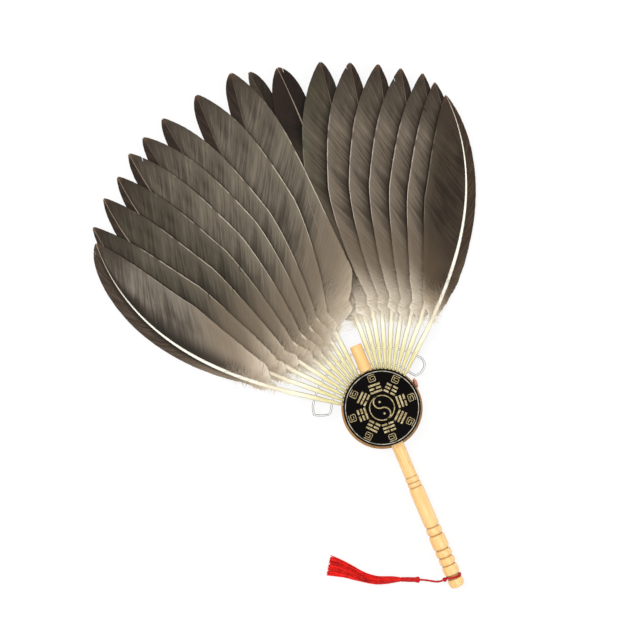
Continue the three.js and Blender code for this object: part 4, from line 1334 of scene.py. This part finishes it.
def makeWorld():
    # White where it is seen or mirrored; its light comes from the sides, and little from straight above
    world = bpy.data.worlds.new("studio")
    world.use_nodes = True
    nodes = Nodes(world.node_tree)
    height = nodes.part(nodes.node("TexCoord"), 2)
    low, high = studio["overhead"]
    strength = nodes.node("MapRange", {
        0: height, 1: low, 2: high, 3: studio["world"], 4: studio["worldAbove"]})
    light = nodes.tree.nodes["Background"]
    nodes.feed(light.inputs["Color"], (1, 1, 1, 1))
    nodes.feed(light.inputs["Strength"], strength)
    white = nodes.node("Background", {"Color": (1, 1, 1, 1)})
    shown = nodes.showSurroundings(Signal(nodes, light.outputs[0]), white)
    nodes.feed(nodes.tree.nodes["World Output"].inputs[0], shown)
    bpy.context.scene.world = world


def makeLamp(name):
    # Its place is to the right, up and out of the picture, in metres from the picture's middle
    data = bpy.data.lights.new(name, "AREA")
    data.energy = studio[name]
    data.size = studio[name + "Size"]
    lamp = placed(name, data)
    right, up, out = studio[name + "At"]
    turn = math.radians(view["turn"])
    centre = Vector((*view["centre"], 0)) * mm
    across = right * math.cos(turn) + up * math.sin(turn)
    lamp.location = centre + Vector((across, up * math.cos(turn) - right * math.sin(turn), out))
    lamp.rotation_euler = (centre - lamp.location).to_track_quat("-Z", "Y").to_euler()


makeCamera()
cordRed = threadFinish("cord_red", (206, 20, 19), (124, 6, 9), (4, 1.5, 1))
skirtRed = threadFinish("skirt_red", (252, 34, 22), (146, 5, 6), (1, 0.08, 1))
makeTasselCord(cordRed, skirtRed)
print("camera, cord and tassel done")

makeFloor()
makeWorld()
makeLamp("key")
makeLamp("fill")
bpy.context.scene.view_settings.view_transform = "Standard"
print("studio done")

# Each set holds painted-shade tones for where a neighbour lies over a vane and beside the shaft, a
# painted-light tone near the vane's own edge, and a pale rim that is partly painted highlight
vaneTones = {
    "left": {
        "dark": (59, 52, 44), "light": (113, 104, 90), "pale": (124, 114, 99),
        "outerDark": (26, 19, 15), "outerLight": (58, 44, 35),
        "tip": (42, 33, 26), "tipEnd": (94, 70, 54), "shade": (46, 40, 33),
        "covered": (0.2, 0.6, 0.05), "shadeBesideShaft": 0.25, "contactShadow": (26, 20, 15),
        "rim": (206, 194, 174), "rimShare": 0.75,
        "softEnds": (44.0, 92.0), "soft": (126, 111, 93),
        "downEnds": (20.0, 48.0), "downDark": (150, 134, 112), "down": (204, 188, 164),
    },
    "leftOuter": {
        "dark": (44, 39, 31), "light": (90, 83, 70), "pale": (104, 96, 82),
        "outerDark": (28, 21, 16), "outerLight": (66, 54, 43),
        "tip": (38, 30, 23), "tipEnd": (92, 68, 53), "shade": (36, 31, 25),
        "covered": (0.24, 0.7, 0.12), "shadeBesideShaft": 0.35, "contactShadow": (22, 17, 13),
        "rim": (190, 178, 158), "rimShare": 0.65,
        "softEnds": (44.0, 92.0), "soft": (128, 113, 95),
        "downEnds": (22.0, 50.0), "downDark": (156, 139, 118), "down": (204, 188, 165),
    },
    "leftOutermost": {
        "dark": (62, 56, 47), "light": (124, 115, 103), "pale": (126, 118, 104),
        "outerDark": (38, 28, 21), "outerLight": (92, 78, 65),
        "tip": (40, 32, 25), "tipEnd": (92, 68, 53), "shade": (34, 28, 22),
        "covered": (0.3, 0.9, 0.3), "shadeBesideShaft": 0.95, "contactShadow": (22, 17, 13),
        "rim": (160, 148, 130), "rimShare": 0.4,
        "softEnds": (44.0, 92.0), "soft": (142, 126, 107),
        "downEnds": (22.0, 46.0), "downDark": (160, 143, 123), "down": (208, 192, 170),
    },
    "right": {
        "dark": (58, 49, 40), "light": (112, 101, 87), "pale": (122, 111, 98),
        "outerDark": (24, 17, 13), "outerLight": (56, 42, 32),
        "tip": (38, 29, 22), "tipEnd": (94, 71, 55), "shade": (42, 34, 27),
        "covered": (0.7, 0.75, 0.6), "shadeBesideShaft": 0.2, "contactShadow": (24, 18, 14),
        "rim": (190, 176, 162), "rimShare": 0.75,
        "softEnds": (38.0, 84.0), "soft": (124, 109, 91),
        "downEnds": (20.0, 48.0), "downDark": (168, 151, 129), "down": (222, 210, 190),
    },
    "rightOutermost": {
        "dark": (33, 26, 19), "light": (66, 55, 44), "pale": (90, 80, 66),
        "outerDark": (34, 24, 17), "outerLight": (80, 63, 48),
        "tip": (54, 43, 34), "tipEnd": (94, 71, 55), "shade": (36, 28, 21),
        "covered": (0.7, 0.85, 0.7), "shadeBesideShaft": 0.1, "contactShadow": (24, 18, 14),
        "rim": (136, 124, 108), "rimShare": 0.5,
        "softEnds": (36.0, 78.0), "soft": (90, 76, 60),
        "downEnds": (17.0, 39.0), "downDark": (134, 116, 94), "down": (196, 178, 152),
    },
    "green": {
        "dark": (52, 46, 36), "light": (92, 84, 69), "pale": (98, 96, 78),
        "outerDark": (24, 18, 14), "outerLight": (54, 46, 36), "outerShare": 0.9,
        "tip": (50, 41, 32), "tipEnd": (84, 66, 52), "shade": (32, 26, 20),
        "covered": (0.75, 0.9, 0.8), "shadeBesideShaft": 0.2, "contactShadow": (20, 15, 12),
        "rim": (140, 134, 112), "rimShare": 0.5,
        "softEnds": (56.0, 106.0), "soft": (126, 111, 93),
        "downEnds": (20.0, 48.0), "downDark": (174, 158, 136), "down": (228, 216, 196),
    },
    "maroon": {
        "dark": (18, 12, 9), "light": (38, 28, 22), "pale": (50, 40, 34),
        "outerDark": (12, 8, 7), "outerLight": (34, 24, 19), "outerShare": 0.6,
        "tip": (40, 28, 22), "tipEnd": (84, 60, 48), "shade": (14, 10, 9),
        "covered": (0.6, 0.8, 0.7), "shadeBesideShaft": 0.2, "contactShadow": (10, 8, 8),
        "rim": (80, 66, 58), "rimShare": 0.4,
        "softEnds": (78.0, 134.0), "soft": (122, 107, 90),
        "downEnds": (24.0, 56.0), "downDark": (176, 160, 138), "down": (228, 216, 196),
    },
}
featherTones = {
    "left": ("left", "brown"), "right": ("right", "brown"),
    "feather_left_1": ("leftOutermost", "ivory"), "feather_right_1": ("rightOutermost", "ivory"),
    "feather_left_2": ("leftOuter", "tan"), "feather_left_3": ("leftOuter", "tan"),
    "feather_left_4": ("leftOuter", "tan"), "feather_left_5": ("left", "tan"),
    "feather_right_7": ("green", "brown"), "feather_right_8": ("maroon", "tan"),
    "feather_right_9": ("green", "brown"),
}
shafts = {
    "ivory": shaftFinish("quill_ivory", (246, 243, 228), (150, 132, 112)),
    "tan": shaftFinish("quill_tan", (178, 164, 140), (124, 108, 90)),
    "brown": shaftFinish("quill_brown", (112, 98, 82), (74, 61, 50)),
}
plumes = makeFeathers({key: vaneFinish("vane_" + key, tones) for key, tones in vaneTones.items()}, shafts)
print("feathers done")

paleWood = woodFinish("pale_wood", (248, 214, 152), (232, 180, 108), (140, 84, 38), 0.34, notched=True)
tanWood = woodFinish("tan_wood", (184, 134, 68), (148, 102, 44), (96, 62, 26), 0.36)
makeStick(paleWood)
makeDiscs(lacquerFinish(), tanWood)
makeSigns(gildFinish())
makeScrews(brassFinish())
print("stick and discs done")

makeLine(plumes, lineFinish(), sealFinish())
makeRing(cordRed)
print("line and ring done")
